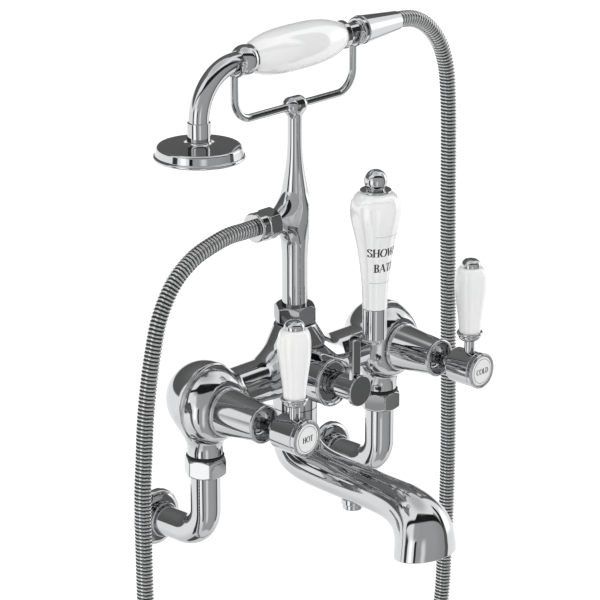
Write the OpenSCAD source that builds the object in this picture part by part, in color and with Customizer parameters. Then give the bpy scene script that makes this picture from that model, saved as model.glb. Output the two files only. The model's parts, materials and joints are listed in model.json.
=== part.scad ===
// Wall-mounted bath shower mixer with a hand shower on a cradle, in millimetres.
// The origin lies on the wall, midway between the two inlets. +X is to the user's
// right, +Y points into the wall and +Z up, so the spout points along -Y.

/* [Inlets] */
// Distance between the two inlets, and so between the two valves
inlet_spacing = 210; // [204:1:230]
// Distance from the wall to the plane of the valve axes
wall_reach = 60; // [56:1:80]
// Height of the valve axes above the inlets
inlet_drop = 114; // [110:1:130]
// Outside diameter of the inlet elbows
pipe_d = 24.5; // [23.5:0.1:25]
// Bore of the inlet elbows
pipe_bore = 19; // [15:0.5:20]
// Diameter of the socket that takes the supply pipe
supply_d = 22; // [21:0.1:22.4]
// Depth of that socket
socket_depth = 14; // [8:1:20]
// Bend radius of the elbow's centreline
elbow_r = 24; // [20:1:28]
// Diameter of the wall flanges
flange_d = 48; // [44:1:60]
// Depth of the wall flanges from the wall to the front of their collar
flange_depth = 13; // [11:0.5:16]
// Diameter of the collar on the wall flange
flange_collar_d = 29; // [28:0.5:34]

/* [Unions] */
// Crest diameter of the union threads, below the valves and under the riser
union_thread_d = 26.4; // [26:0.1:27]
// Width of the union nuts across their flats
union_af = 31; // [30.5:0.5:36]
// Height of the union nuts
union_h = 16; // [15:0.5:20]
// Thickness of the lip that holds the tail inside a union nut
union_lip = 3; // [2:0.5:4]
// Length of the threaded spigots
spigot_len = 10; // [8:0.5:11]
// Diameter of the black sealing rings
seal_d = 31; // [29.5:0.5:33]
// Thickness of the black sealing rings
seal_t = 1.6; // [1:0.1:2.5]

/* [Body] */
// Radius of the bulb of each valve chest
chest_r = 31; // [30:0.5:34]
// Height of the bulbs and of the crossbar above the valve axis
chest_rise = 5; // [2:0.5:7]
// Diameter of the necks under the bulbs
neck_d = 29; // [28:0.5:32]
// Drop from the valve axis to the foot of the necks
neck_drop = 42.5; // [40:0.5:46]
// Fillet between neck and bulb
neck_fillet = 14; // [8:0.5:16]
// Diameter of the crossbar
crossbar_d = 29; // [26:0.5:32]
// Bore of the crossbar
crossbar_bore = 15; // [10:0.5:18]
// Diameter of the round shoulder that carries the bonnet
shoulder_d = 54; // [50:0.5:58]
// Rounding of that shoulder
shoulder_round = 7; // [4:0.5:9]
// Distance from the valve axis plane to the face that the bonnet sits on
seat_reach = 24; // [22:0.5:28]
// Height of the riser's seat above the valve axis
riser_seat = 43; // [40:0.5:48]
// Half the spread of the gusset along the crossbar
gusset_w = 31; // [20:0.5:36]

/* [Valve heads] */
// Bore for the cartridge
cartridge_d = 20; // [18:0.5:22]
// Depth of that bore behind the bonnet's seat
cartridge_depth = 30; // [27:0.5:32]
// Length of the cartridge ahead of the bonnet's seat
gland_len = 28; // [20:0.5:30]
// Diameter of the gland that guides the spindle
gland_d = 18; // [14:0.5:20]
// Thickness of each ceramic disc
ceramic_t = 3; // [2:0.5:4]
// Diameter of the turning ceramic disc
ceramic_d = 14; // [12:0.5:15]
// Diameter of the spindle
spindle_d = 8; // [7:0.5:9]
// Diameter of the ring at the foot of the bonnet
bonnet_ring_d = 41; // [39:0.5:42]
// Diameter of the rolled rim at the mouth of the bonnet
bonnet_rim_d = 32; // [31:0.5:36]
// Length of the bonnet
bonnet_len = 43.5; // [40:0.5:50]
// Wall of the bonnet
bonnet_wall = 2; // [1.2:0.1:2.5]

/* [Levers] */
// Diameter of the lever's hub at its rim
hub_d = 29.6; // [28:0.2:32]
// Distance from the mouth of the bonnet to the face of the hub
hub_proud = 45.2; // [42:0.2:50]
// Length of the hub's neck inside the bonnet
hub_sunk = 9; // [4:0.5:12]
// Distance from the face of the hub back to the lever
lever_setback = 14; // [11:0.5:18]
// Diameter of the index disc
index_d = 25; // [20:0.5:26]
// Thickness of the index disc
index_t = 2.6; // [2:0.1:3.5]
// Diameter of the lever's stem
stem_d = 7; // [6:0.2:8]
// Height of the lever's cup seat above the valve axis
cup_rise = 26.5; // [24:0.5:32]
// Diameter of the lever's cup
cup_d = 20.8; // [19.4:0.2:24]
// Diameter of the porcelain lever at its foot
lever_foot_d = 18; // [16:0.5:19]
// Largest diameter of the porcelain lever
lever_top_d = 26.4; // [22:0.2:30]
// Length of the porcelain lever
lever_len = 61; // [50:1:70]
// Diameter of the domed cap on the lever
cap_d = 16.4; // [14:0.2:18]
// Height of that cap
cap_h = 7.2; // [5:0.2:9]
// Diameter of the rods that tie the porcelain pieces together
tie_d = 5; // [4:0.5:6]

/* [Diverter] */
// Height of the diverter's axis above the valve axis
diverter_rise = 1; // [0:0.5:3]
// Diameter of the diverter barrel
barrel_d = 40; // [39:0.5:42]
// Wall of the diverter barrel
barrel_wall = 2.8; // [2:0.1:3]
// Distance from the valve axis plane to the barrel's seat on the body
barrel_seat = 17; // [17:0.5:20]
// Length of the diverter barrel
barrel_len = 28; // [24:0.5:34]
// Diameter of the diverter's stem
diverter_stem_d = 23.4; // [20:0.2:26]
// Distance from the mouth of the barrel to the back of the end disc
stem_proud = 25; // [22:0.5:32]
// Diameter of the end disc
end_disc_d = 26; // [24:0.5:30]
// Thickness of the end disc
end_disc_t = 3.3; // [2:0.1:5]
// Width of the cranked arm
arm_w = 9.5; // [8:0.5:12]
// Thickness of the cranked arm
arm_t = 5; // [4:0.5:6]
// Height of the underside of the arm's crank above the diverter's axis
arm_rise = 44; // [38:0.5:50]
// Distance that the crank reaches ahead of the arm
arm_crank = 21; // [18:0.5:26]
// Diameter of the socket under the porcelain handle
socket_d = 19.5; // [18:0.5:22]
// Height of that socket
socket_h = 26; // [20:0.5:30]
// Diameter of the porcelain handle at its foot
handle_foot_d = 20.4; // [18:0.2:22]
// Largest diameter of the porcelain handle
handle_max_d = 40; // [34:0.5:44]
// Diameter of the porcelain handle at its top
handle_top_d = 26.8; // [26:0.2:30]
// Length of the porcelain handle
handle_len = 98; // [88:1:108]
// Diameter of the finial's flange
finial_flange_d = 25; // [20:0.5:26]
// Diameter of the finial's ball
finial_d = 18; // [15:0.5:20]

/* [Spout] */
// Outside diameter of the spout's neck
spout_neck_d = 37; // [35:0.5:40]
// Drop from the valve axis to the joint of body and spout
spout_joint = 30; // [28:0.5:34]
// Reach of the spout's lip ahead of the valve axis
spout_reach = 168; // [150:1:190]
// Wall of the spout
spout_wall = 4; // [3:0.5:5]
// Diameter of the plug under the spout
plug_d = 17; // [15:0.5:20]
// Height of the plug under the spout
plug_h = 4.5; // [4:0.5:8]

/* [Riser and cradle] */
// Diameter of the riser above its nut
riser_d = 21; // [19:0.5:22]
// Diameter of the riser at the hose branch
riser_branch_d = 24.4; // [23:0.2:26]
// Diameter of the riser under the eyelet
riser_tip_d = 11.7; // [10:0.1:14]
// Height of the hose branch above the valve axis
branch_rise = 134; // [130:1:138]
// Reach of the branch from the riser to the shoulder of its thread
branch_reach = 25; // [23:0.5:25]
// Height of the cradle rod above the valve axis
cradle_rise = 226; // [220:1:232]
// Diameter of the cradle rod
rod_d = 6.5; // [5.5:0.1:7]
// Half the distance between the two forks
fork_span = 68.5; // [68:0.1:69]
// Bend radius of the cradle rod's corners
rod_bend = 18; // [12:1:24]
// Diameter of the fork's prongs
prong_d = 4; // [3:0.1:4.4]
// Diameter of the eyelet on the riser
eyelet_d = 15; // [13:0.5:18]
// Length of the eyelet on the riser
eyelet_len = 20; // [16:0.5:26]

/* [Handset] */
// Height of the handset's axis above the cradle rod
fork_rise = 48; // [42:1:56]
// Length of the porcelain grip
grip_len = 102; // [98:0.5:103]
// Offset of the grip's middle to the right of the riser
grip_shift = 0; // [-0.5:0.1:0.5]
// Diameter of the grip at its ends
grip_end_d = 23; // [22:0.2:24]
// Diameter of the grip at its middle
grip_mid_d = 38; // [32:0.5:42]
// Outside diameter of the handset's neck, and of the waist in the right fork
handset_neck_d = 16.3; // [15.6:0.1:17]
// Bend radius of the handset's neck
handset_bend = 40; // [34:1:46]
// Diameter of the ball ferrule
ball_d = 25; // [24.2:0.2:28]
// Length of the collar above the rose
rose_collar_len = 15; // [13:0.5:20]
// Diameter of the collar above the rose
rose_collar_d = 18.4; // [17.8:0.1:20]
// Diameter of the rose at its rolled rim
rose_d = 72.5; // [66:0.5:80]
// Height of the rose from its rim to the foot of the collar
rose_h = 14; // [12:0.5:18]
// Wall of the rose
rose_wall = 2; // [1.5:0.1:2.5]
// Rings of spray holes
spray_rings = 5; // [3:1:6]
// Diameter of the spray holes
spray_hole_d = 1.6; // [1:0.1:2]

/* [Hose] */
// Outside diameter of the ribbed hose
hose_d = 14; // [12:0.5:14.4]
// Bore of the hose
hose_bore = 9; // [7:0.5:10]
// Number of ribs along the hose
hose_ribs = 190; // [120:10:200]
// Crest diameter of the hose threads
hose_thread_d = 20.8; // [20.4:0.1:21]
// Outside diameter of the hose nuts
hose_nut_d = 24.4; // [24:0.1:27]
// Length of the lower hose nut
outlet_nut_len = 23; // [21:0.5:23]
// Length of the conical upper hose nut
cone_nut_len = 44; // [43:0.5:44]

/* [Hidden] */
// Clearances: between a spindle and its bore, between fixed fits, and beside moving pieces
run_gap = 0.05;
fit_gap = 0.1;
part_gap = 0.3;

LEFT = -1;
RIGHT = 1;
CHROME = "silver";
PORCELAIN = "white";
BRASS = "goldenrod";
RUBBER = "black";
CERAMIC = "ivory";
FIBRE = "firebrick";
$fn = 64;

// Stations along the valve axis, forward from the plane of the valve axes
cartridge_back = seat_reach - cartridge_depth;
disc_face = cartridge_back + ceramic_t;
spindle_foot = disc_face + ceramic_t;
gland_front = seat_reach + gland_len;
bonnet_mouth = seat_reach + bonnet_len;
hub_back = bonnet_mouth - hub_sunk;
hub_front = bonnet_mouth + hub_proud;
lever_reach = hub_front - lever_setback;
screw_d = 4;
screw_head_d = 7.4;
screw_head_t = 3;
screw_grip = 10;
index_back = hub_front - index_t;
spindle_front = index_back - screw_head_t - screw_grip;

// Heights along the lever, above the valve axis
lever_top = cup_rise + lever_len;
stem_foot = hub_d / 2 - 6;

// Stations along the diverter's axis
seat_disc_back = barrel_seat - 23;
diverter_disc_back = seat_disc_back + ceramic_t;
diverter_foot = diverter_disc_back + ceramic_t;
diverter_insert_d = 26;
diverter_spindle_d = 12;
diverter_gland = barrel_seat + 12;
barrel_mouth = barrel_seat + barrel_len;
stem_back = diverter_gland + 4;
stem_front = barrel_mouth + stem_proud;
arm_back = stem_front - arm_t - 1;
handle_reach = arm_back + arm_t / 2 + arm_crank;
socket_foot = arm_rise + arm_t;
socket_top = socket_foot + socket_h;
handle_top = socket_top + handle_len;

// Heights on the unions, below the valves and above the riser's seat
union_top = neck_drop + seal_t;
union_foot = union_top + union_h;
tail_top = neck_drop + spigot_len;
tail_d = union_thread_d - 2 * fit_gap;
washer_t = 1.4;
riser_washer = riser_seat + spigot_len;
riser_foot = riser_washer + washer_t;
riser_nut_foot = riser_seat + part_gap;
riser_nut_top = riser_nut_foot + union_h;
riser_tail_top = riser_nut_top - union_lip;

// Stations along the hose branch, to the left of the riser
hose_spigot_len = 10;
outlet_washer = branch_reach + hose_spigot_len;
outlet_tail_back = outlet_washer + washer_t;
tail_flange_t = 2.6;
tail_flange_d = hose_thread_d - 1;
outlet_nut_end = branch_reach + outlet_nut_len;
hose_sunk = 4;
hose_start = outlet_nut_end - hose_sunk;

// Stations along the handset's axis
handset_rise = cradle_rise + fork_rise;
grip_left = grip_shift - grip_len / 2;
grip_right = grip_shift + grip_len / 2;
ferrule_ring = 1.5;
ball_x = grip_left - ferrule_ring;
ball_left = ball_x - sqrt(pow(ball_d / 2, 2) - pow(handset_neck_d / 2 + 0.6, 2));
neck_end = grip_left - 5;
neck_start = -fork_span + 0.5;
rear_ring = 6;
rear_collar = fork_span + 4;
nut_seat = rear_collar + 4.5;
nipple_end = nut_seat + hose_spigot_len;
cone_end = nut_seat + cone_nut_len;
hose_finish = cone_end - 2 * hose_sunk;
rose_x = neck_start - handset_bend;
rose_top = handset_rise - handset_bend - rose_collar_len;
rose_rim = rose_top - rose_h;
neck_foot = rose_top + 4.5;
liner_d = 11;
fork_r = handset_neck_d / 2 + part_gap + prong_d / 2;

// Points of an arc about (cx, cy) from angle a0 to a1
function arc(cx, cy, r, a0, a1, n = 8) =
    [for (i = [0:n]) let (a = a0 + (a1 - a0) * i / n) [cx + r * cos(a), cy + r * sin(a)]];

// Points of a cubic curve with end points p0, p3 and handles p1, p2
function curve(p0, p1, p2, p3, n = 10) =
    [for (i = [0:n]) let (t = i / n, u = 1 - t)
        u * u * u * p0 + 3 * u * u * t * p1 + 3 * u * t * t * p2 + t * t * t * p3];

// Point at parameter u, from 0 to len(p) - 1, of a smooth line through the points p
function along(p, u) =
    let (m = len(p) - 1, i = min(floor(u), m - 1), t = u - i,
         a = p[max(i - 1, 0)], b = p[i], c = p[i + 1], d = p[min(i + 2, m)])
    0.5 * (2 * b + (c - a) * t + (2 * a - 5 * b + 4 * c - d) * t * t
           + (3 * b - a - 3 * c + d) * t * t * t);

// Direction of that line
function heading(p, u) =
    let (m = len(p) - 1, e = 0.01, q = along(p, min(u + e, m)) - along(p, max(u - e, 0))) q / norm(q);

module at_centre() translate([0, -wall_reach, inlet_drop]) children();

module at_valve(side) translate([side * inlet_spacing / 2, -wall_reach, inlet_drop]) children();

module at_diverter() at_centre() translate([0, 0, diverter_rise]) children();

module at_lever(side) at_valve(side) translate([0, -lever_reach, 0]) children();

module at_handle() at_diverter() translate([0, -handle_reach, 0]) children();

module at_handset() at_centre() translate([0, 0, handset_rise]) children();

module at_rose() at_centre() translate([rose_x, 0, 0]) children();

// Local +Z turned forward, along -Y
module forward() rotate([90, 0, 0]) children();

// Local +Z turned to the right, along +X
module rightward() rotate([0, 90, 0]) children();

// Solid turned from points of radius and height
module turned(profile) rotate_extrude() polygon(profile);

// Hollow straight tube from height z0 to z1
module tube(outer_d, inner_d, z0, z1) {
    turned([[inner_d / 2, z0], [outer_d / 2, z0], [outer_d / 2, z1], [inner_d / 2, z1]]);
}

// Straight rod from height z0 to z1
module rod(d, z0, z1) translate([0, 0, z0]) cylinder(d = d, h = z1 - z0);

// Hexagonal nut from z0 to z1 with chamfered corners
module hex_nut(af, z0, z1) {
    ac = af / cos(30);
    chamfer = (ac - af) / 2 * tan(30);
    intersection() {
        rod_hex(ac, z0, z1);
        turned([[0, z0], [af / 2, z0], [ac / 2, z0 + chamfer], [ac / 2, z1 - chamfer], [af / 2, z1], [0, z1]]);
    }
}

module rod_hex(ac, z0, z1) translate([0, 0, z0]) rotate([0, 0, 30]) cylinder(d = ac, h = z1 - z0, $fn = 6);

// Quarter of a bent rod in the XZ plane, starting at angle a
module bend_xz(r, d, a) rotate([90, 0, 0]) rotate([0, 0, a]) rotate_extrude(angle = 90)
    translate([r, 0]) circle(d = d);

// Cast body: two valve chests, the crossbar, the gusset and the waterways
module mixer_body() color(CHROME) at_centre() difference() {
    union() {
        for (side = [LEFT, RIGHT]) translate([side * inlet_spacing / 2, 0, 0]) valve_chest();
        translate([0, 0, chest_rise]) rightward() cylinder(d = crossbar_d, h = inlet_spacing, center = true);
        gusset();
        spout_boss();
        translate([0, 0, diverter_rise]) forward() rod(barrel_d - 5, 0, barrel_seat);
        rod(union_thread_d, riser_seat - 1, riser_washer);
    }
    for (side = [LEFT, RIGHT]) translate([side * inlet_spacing / 2, 0, 0]) valve_ways();
    translate([0, 0, chest_rise]) rightward() cylinder(d = crossbar_bore, h = inlet_spacing - 3, center = true);
    translate([0, 0, diverter_rise]) forward() rod(diverter_insert_d + 2 * fit_gap, seat_disc_back, barrel_seat + 1);
    translate([0, 0, diverter_rise]) forward() rod(barrel_d + 6, barrel_seat, barrel_seat + 10);
    rod(spout_neck_d - 2 * spout_wall, -spout_joint - 1, -diverter_insert_d / 2 - 2);
    rod(crossbar_bore + 1, -spout_joint, -2);
    rod(riser_d - 7, 2, riser_washer + 1);
}

// Domed boss from the crossbar down to the spout
module spout_boss() turned(concat(
    [[0, -spout_joint], [spout_neck_d / 2, -spout_joint]],
    arc(0, chest_rise, spout_neck_d / 2, 0, 90, 8)));

// Bulb with its filleted neck, threaded spigot and front shoulder
module valve_chest() {
    neck_r = neck_d / 2;
    fillet_z = chest_rise - sqrt(pow(chest_r + neck_fillet, 2) - pow(neck_r + neck_fillet, 2));
    tangent = atan2(chest_rise - fillet_z, -(neck_r + neck_fillet));
    shoulder_r = shoulder_d / 2;
    turned(concat(
        [[0, -neck_drop], [neck_r, -neck_drop]],
        arc(neck_r + neck_fillet, fillet_z, neck_fillet, 180, tangent, 6),
        arc(0, chest_rise, chest_r, tangent - 180 + 8, 90, 14)));
    rod(union_thread_d, -tail_top, -neck_drop + 1);
    forward() turned(concat(
        [[0, 0], [shoulder_r, 0]],
        arc(shoulder_r - shoulder_round, seat_reach - shoulder_round, shoulder_round, 0, 90),
        [[0, seat_reach]]));
}

// Waterways of one chest: its chamber, the cartridge's bore and the inlet
module valve_ways() {
    chamber_wall = 7;
    translate([0, chamber_wall / 2, chest_rise - 2]) sphere(r = chest_r - chamber_wall - 2);
    forward() rod(cartridge_d + 2 * fit_gap, cartridge_back, seat_reach + 1);
    forward() rod(shoulder_d + 8, seat_reach, chest_r + 2);
    rod(pipe_bore, -tail_top - 1, 0);
}

// Web that widens from the riser's seat down to the crossbar
module gusset() hull() {
    translate([0, 0, riser_seat - 3]) cylinder(d = union_af + 3.5, h = 3, $fn = 32);
    for (x = [-gusset_w, gusset_w]) translate([x, 0, chest_rise]) sphere(d = crossbar_d - 2, $fn = 32);
}

// Distance f ahead of the valve axis, moved so that the lip reaches spout_reach
function reach(f) = let (fixed = 30, drawn = 168)
    f <= fixed ? f : fixed + (f - fixed) * (spout_reach - fixed) / (drawn - fixed);

// Points of forward and height with the spout's reach
function stretched(p) = [for (q = p) [reach(q[0]), q[1]]];

// Outlines of the spout in the plane x = 0, forward and height, and its half width between them
spout_front = stretched([
    [spout_neck_d / 2, -spout_joint], [18.5, -43], [19, -50], [21.5, -55.5], [27, -59], [36, -61], [50, -62.4],
    [74, -64.2], [99, -65.2], [123, -67.2], [142, -72.6], [156, -83], [164.5, -97], [167.5, -110], [168, -116.5]
]);
spout_back = stretched([
    [-spout_neck_d / 2, -spout_joint], [-18.5, -47], [-18.4, -61], [-15.5, -74], [-8, -84.5], [6, -91.2],
    [28, -94.4], [64, -96.4], [94, -98], [108, -100.2], [116, -104.2], [119.6, -109], [120.8, -113],
    [121, -117], [121, -121.5]
]);
spout_half = [
    spout_neck_d / 2, 18.5, 18.5, 18.5, 18.2, 17.4, 16.6, 16, 16.2, 17, 18.6, 20.6, 22.2, 23.2, 23.6
];
spout_steps = 42;
spout_sides = 32;
straightener_depth = 6;
straightener_t = 7;
plug_at = reach(65);

// Ring of points across the spout at parameter u, drawn in by the wall w
function spout_ring(u, w) =
    let (front = along(spout_front, u), back = along(spout_back, u), c = (front + back) / 2,
         h = front - c, r = norm(h), v = h / r * (r - w), half = along(spout_half, u) - w)
    [for (k = [0:spout_sides - 1]) let (a = 360 * k / spout_sides)
        [half * cos(a), -c[0] - v[0] * sin(a), c[1] + v[1] * sin(a)]];

// Triangles between ring i and ring j of n points each
function band(i, j, n, flip = false) =
    [for (k = [0:n - 1]) let (a = i * n + k, b = i * n + (k + 1) % n, c = j * n + k, d = j * n + (k + 1) % n)
        each flip ? [[a, b, d], [a, d, c]] : [[a, d, b], [a, c, d]]];

// Tube skinned over outer rings and inner rings, both listed from start to finish
module skinned_tube(outer, inner, n) {
    no = len(outer);
    ni = len(inner);
    points = [for (ring = outer) each ring, for (ring = inner) each ring];
    faces = concat(
        [for (i = [0:no - 2]) each band(i, i + 1, n)],
        [for (i = [no:no + ni - 2]) each band(i, i + 1, n, true)],
        band(0, no, n, true),
        band(no - 1, no + ni - 1, n));
    polyhedron(points = points, faces = faces);
}

// Cast spout: a skinned tube that turns forward, then down into its flared outlet
module spout() color(CHROME) at_centre() union() {
    last = len(spout_front) - 1;
    us = [for (i = [0:spout_steps]) last * i / spout_steps];
    skinned_tube([for (u = us) spout_ring(u, 0)], [for (u = us) spout_ring(u, spout_wall)], spout_sides);
    translate([0, -plug_at, 0]) rod(plug_d + 2, plug_seat, plug_seat + 5);
    outlet_seat() translate([0, 0, straightener_t]) tube(2 * mouth_r - 3, 2 * mouth_r - 15, 0, 3);
}

plug_seat = -98.5;
mouth_r = spout_half[len(spout_half) - 1];

// Frame at the middle of the spout's mouth, raised to the straightener's foot and tilted with it
module outlet_seat() {
    last = len(spout_front) - 1;
    middle = (spout_front[last] + spout_back[last]) / 2;
    lean = spout_front[last] - spout_back[last];
    translate([0, -middle[0], middle[1]]) rotate([-atan2(lean[1], lean[0]), 0, 0])
        translate([0, 0, straightener_depth]) children();
}

// Round plug on the boss under the spout, with a slot for a coin
module spout_plug() color(CHROME) at_centre() translate([0, -plug_at, plug_seat]) difference() {
    turned(concat([[0, 0], [plug_d / 2, 0]], arc(plug_d / 2 - 1, -plug_h + 1, 1, 0, -90, 4), [[0, -plug_h]]));
    translate([0, 0, -plug_h]) cube([plug_d * 0.7, 2.4, 3], center = true);
}

// Insert in the spout's mouth: a ring with crossing vanes
module flow_straightener() color(BRASS) at_centre() outlet_seat() {
    r = mouth_r - spout_wall - part_gap - 1.6;
    vane_t = 1;
    tube(2 * r, 2 * r - 4, 0, straightener_t);
    for (x = [-2:2]) intersection() {
        rod(2 * r - 3, 0, straightener_t);
        union() {
            translate([x * r / 3 - vane_t / 2, -r, 1]) cube([vane_t, 2 * r, straightener_t - 2]);
            translate([-r, x * r / 3 - vane_t / 2, 1]) cube([2 * r, vane_t, straightener_t - 2]);
        }
    }
}

// Domed cover with a collar, against the wall round the inlet
module wall_flange(side) color(CHROME) translate([side * inlet_spacing / 2, 0, 0]) forward() {
    bore = pipe_d / 2 + fit_gap;
    edge = 2.5;
    dome = flange_depth - 5;
    turned(concat(
        [[bore, 0], [flange_d / 2, 0], [flange_d / 2, edge]],
        curve([flange_d / 2, edge], [flange_d / 2 - 1, dome], [flange_collar_d / 2 + 4, dome],
              [flange_collar_d / 2, dome]),
        arc(flange_collar_d / 2 - 1.5, flange_depth - 1.5, 1.5, 0, 90, 4),
        [[bore, flange_depth]]));
}
module wall_flange_left() wall_flange(LEFT);
module wall_flange_right() wall_flange(RIGHT);

// Elbow from the union down and back to the wall, with a socket for the supply pipe
module wall_elbow(side) color(CHROME) at_valve(side) difference() {
    union() {
        rod(pipe_d, -inlet_drop + elbow_r, -tail_top);
        rod(tail_d, -union_foot + union_lip, -tail_top);
        elbow_bend(pipe_d);
        translate([0, 0, -inlet_drop]) rotate([-90, 0, 0]) rod(pipe_d, elbow_r, wall_reach);
    }
    rod(pipe_bore, -inlet_drop + elbow_r, -tail_top + 1);
    elbow_bend(pipe_bore);
    translate([0, 0, -inlet_drop]) rotate([-90, 0, 0]) rod(pipe_bore, elbow_r, wall_reach);
    translate([0, 0, -inlet_drop]) rotate([-90, 0, 0]) rod(supply_d, wall_reach - socket_depth, wall_reach + 1);
}

// Quarter bend from straight down to straight back
module elbow_bend(d) translate([0, elbow_r, -inlet_drop + elbow_r]) rotate([-90, 0, -90])
    rotate_extrude(angle = 90) translate([elbow_r, 0]) circle(d = d);

module wall_elbow_left() wall_elbow(LEFT);
module wall_elbow_right() wall_elbow(RIGHT);

// Hexagonal nut that pulls the elbow's tail up against the spigot
module union_nut(side) color(CHROME) at_valve(side) difference() {
    hex_nut(union_af, -union_foot, -union_top);
    rod(union_thread_d + 2 * fit_gap, -union_foot + union_lip, -union_top + 1);
    rod(pipe_d + 2 * fit_gap, -union_foot - 1, -union_top);
}
module union_nut_left() union_nut(LEFT);
module union_nut_right() union_nut(RIGHT);

// Black rings between the necks and the union nuts
module seal_rings() color(RUBBER) for (side = [LEFT, RIGHT]) at_valve(side)
    tube(seal_d, union_thread_d + 2 * fit_gap, -union_top, -neck_drop);

// Brass headwork: threaded sleeve, hexagon under the bonnet and gland
module cartridge(side) color(BRASS) at_valve(side) forward() difference() {
    union() {
        rod(cartridge_d, cartridge_back, seat_reach);
        hex_nut(bonnet_ring_d - 2 * bonnet_wall - 9, seat_reach, seat_reach + 7);
        rod(gland_d, seat_reach, gland_front);
    }
    rod(ceramic_d + 1, cartridge_back - 1, spindle_foot + part_gap);
    rod(spindle_d + 2 * run_gap, disc_face, gland_front + 1);
}
module cartridge_left() cartridge(LEFT);
module cartridge_right() cartridge(RIGHT);

// Fixed ceramic discs in the back of the cartridges, each with two ports
module fixed_discs() color(CERAMIC) for (side = [LEFT, RIGHT]) at_valve(side) forward()
    ported_disc(ceramic_d + 1 - 2 * run_gap, ceramic_d, cartridge_back);

// Ceramic disc of thickness ceramic_t with two round ports
module ported_disc(d, port_circle, z0) difference() {
    rod(d, z0, z0 + ceramic_t);
    for (x = [-1, 1]) translate([x * port_circle / 4, 0, 0]) rod(port_circle / 4, z0 - 1, z0 + ceramic_t + 1);
}

// Hollow tapered cover with a ring at its foot and a rolled rim at its mouth
module bonnet(side) color(CHROME) at_valve(side) forward() {
    ring_r = bonnet_ring_d / 2;
    rim_r = bonnet_rim_d / 2;
    ring_t = 3.6;
    rim_t = 3.2;
    foot = seat_reach + ring_t;
    lip = bonnet_mouth - rim_t;
    turned(concat(
        [[ring_r - bonnet_wall - 2, seat_reach]],
        arc(ring_r - ring_t / 2, seat_reach + ring_t / 2, ring_t / 2, -90, 90, 6),
        [[ring_r - 1.4, foot + 0.6], [rim_r - 1, lip - 0.4]],
        arc(rim_r - rim_t / 2, bonnet_mouth - rim_t / 2, rim_t / 2, -90, 120, 8),
        [[rim_r - bonnet_wall - 1, lip - 2], [ring_r - bonnet_wall - 2, foot + 6]]));
}
module bonnet_left() bonnet(LEFT);
module bonnet_right() bonnet(RIGHT);

// Brass insert in the body that guides the diverter's spindle
module diverter_cartridge() color(BRASS) at_diverter() forward() difference() {
    union() {
        rod(diverter_insert_d, diverter_disc_back, barrel_seat);
        rod(barrel_d - 2 * barrel_wall - 2 * fit_gap, barrel_seat, barrel_seat + 5);
        rod(diverter_spindle_d + 8, barrel_seat, diverter_gland);
    }
    rod(diverter_insert_d - 4, diverter_disc_back - 1, diverter_foot + part_gap);
    rod(diverter_spindle_d + 2 * run_gap, diverter_disc_back, diverter_gland + 1);
}

// Fixed ceramic seat of the diverter
module diverter_seat() color(CERAMIC) at_diverter() forward()
    ported_disc(diverter_insert_d, diverter_insert_d - 4, seat_disc_back);

// Open barrel round the diverter's stem, with a bead at its mouth
module diverter_barrel() color(CHROME) at_diverter() forward() {
    r = barrel_d / 2;
    bead = 1.6;
    turned(concat(
        [[r - barrel_wall, barrel_seat], [r, barrel_seat], [r, barrel_mouth - 2 * bead]],
        arc(r - bead + 0.5, barrel_mouth - bead, bead, -70, 110, 6),
        [[r - barrel_wall, barrel_mouth - 2]]));
}

// Hexagonal nut that holds the riser on the body
module riser_nut() color(CHROME) at_centre() difference() {
    hex_nut(union_af, riser_nut_foot, riser_nut_top);
    rod(union_thread_d + 2 * fit_gap, riser_nut_foot - 1, riser_tail_top);
    rod(riser_d + 2 * fit_gap, riser_nut_foot, riser_nut_top + 1);
}

// Flat washers under the riser and at the hose branch
module fibre_washers() color(FIBRE) at_centre() {
    tube(tail_d, riser_d - 6, riser_washer, riser_foot);
    translate([0, 0, branch_rise]) rightward() tube(tail_flange_d, hose_bore, -outlet_tail_back, -outlet_washer);
}

// Riser: a turned column that swells at the hose branch and carries the eyelet
module riser_column() color(CHROME) at_centre() difference() {
    lower = riser_d / 2;
    middle = riser_branch_d / 2;
    tip = riser_tip_d / 2;
    union() {
        turned(concat(
            [[0, riser_foot], [tail_d / 2, riser_foot], [tail_d / 2, riser_tail_top], [lower, riser_tail_top]],
            curve([lower, branch_rise - 40], [lower, branch_rise - 26], [middle, branch_rise - 20],
                  [middle, branch_rise - 4]),
            curve([middle, branch_rise + 4], [middle, branch_rise + 26], [tip, branch_rise + 36],
                  [tip, branch_rise + 66]),
            [[tip, cradle_rise - 4], [0, cradle_rise - 4]]));
        translate([0, 0, branch_rise]) rightward() branch();
        translate([0, 0, cradle_rise]) rightward() eyelet();
    }
    rod(riser_d - 9, riser_foot - 1, branch_rise);
    translate([0, 0, branch_rise]) rightward() rod(hose_bore, -outlet_washer - 1, 0);
    translate([0, 0, cradle_rise]) rightward() rod(rod_d + 2 * fit_gap, -eyelet_len, eyelet_len);
}

// Hose branch along -X: a waisted neck with a threaded spigot
module branch() {
    waist = 8.8;
    turned(concat(
        [[0, -branch_reach]],
        [[hose_thread_d / 2, -branch_reach], [hose_thread_d / 2, -branch_reach + 1]],
        curve([waist, -branch_reach + 2], [waist, -branch_reach + 9], [waist + 1, -10], [riser_branch_d / 2, -3]),
        [[0, 0]]));
    rod(hose_thread_d, -outlet_washer, -branch_reach + 0.5);
}

// Rounded barrel across the top of the riser that holds the cradle rod
module eyelet() {
    r = eyelet_d / 2;
    h = eyelet_len / 2;
    turned(concat([[0, -h]], arc(r - 2, -h + 2, 2, -90, 0, 4), arc(r - 2, h - 2, 2, 0, 90, 4), [[0, h]]));
}

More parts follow.
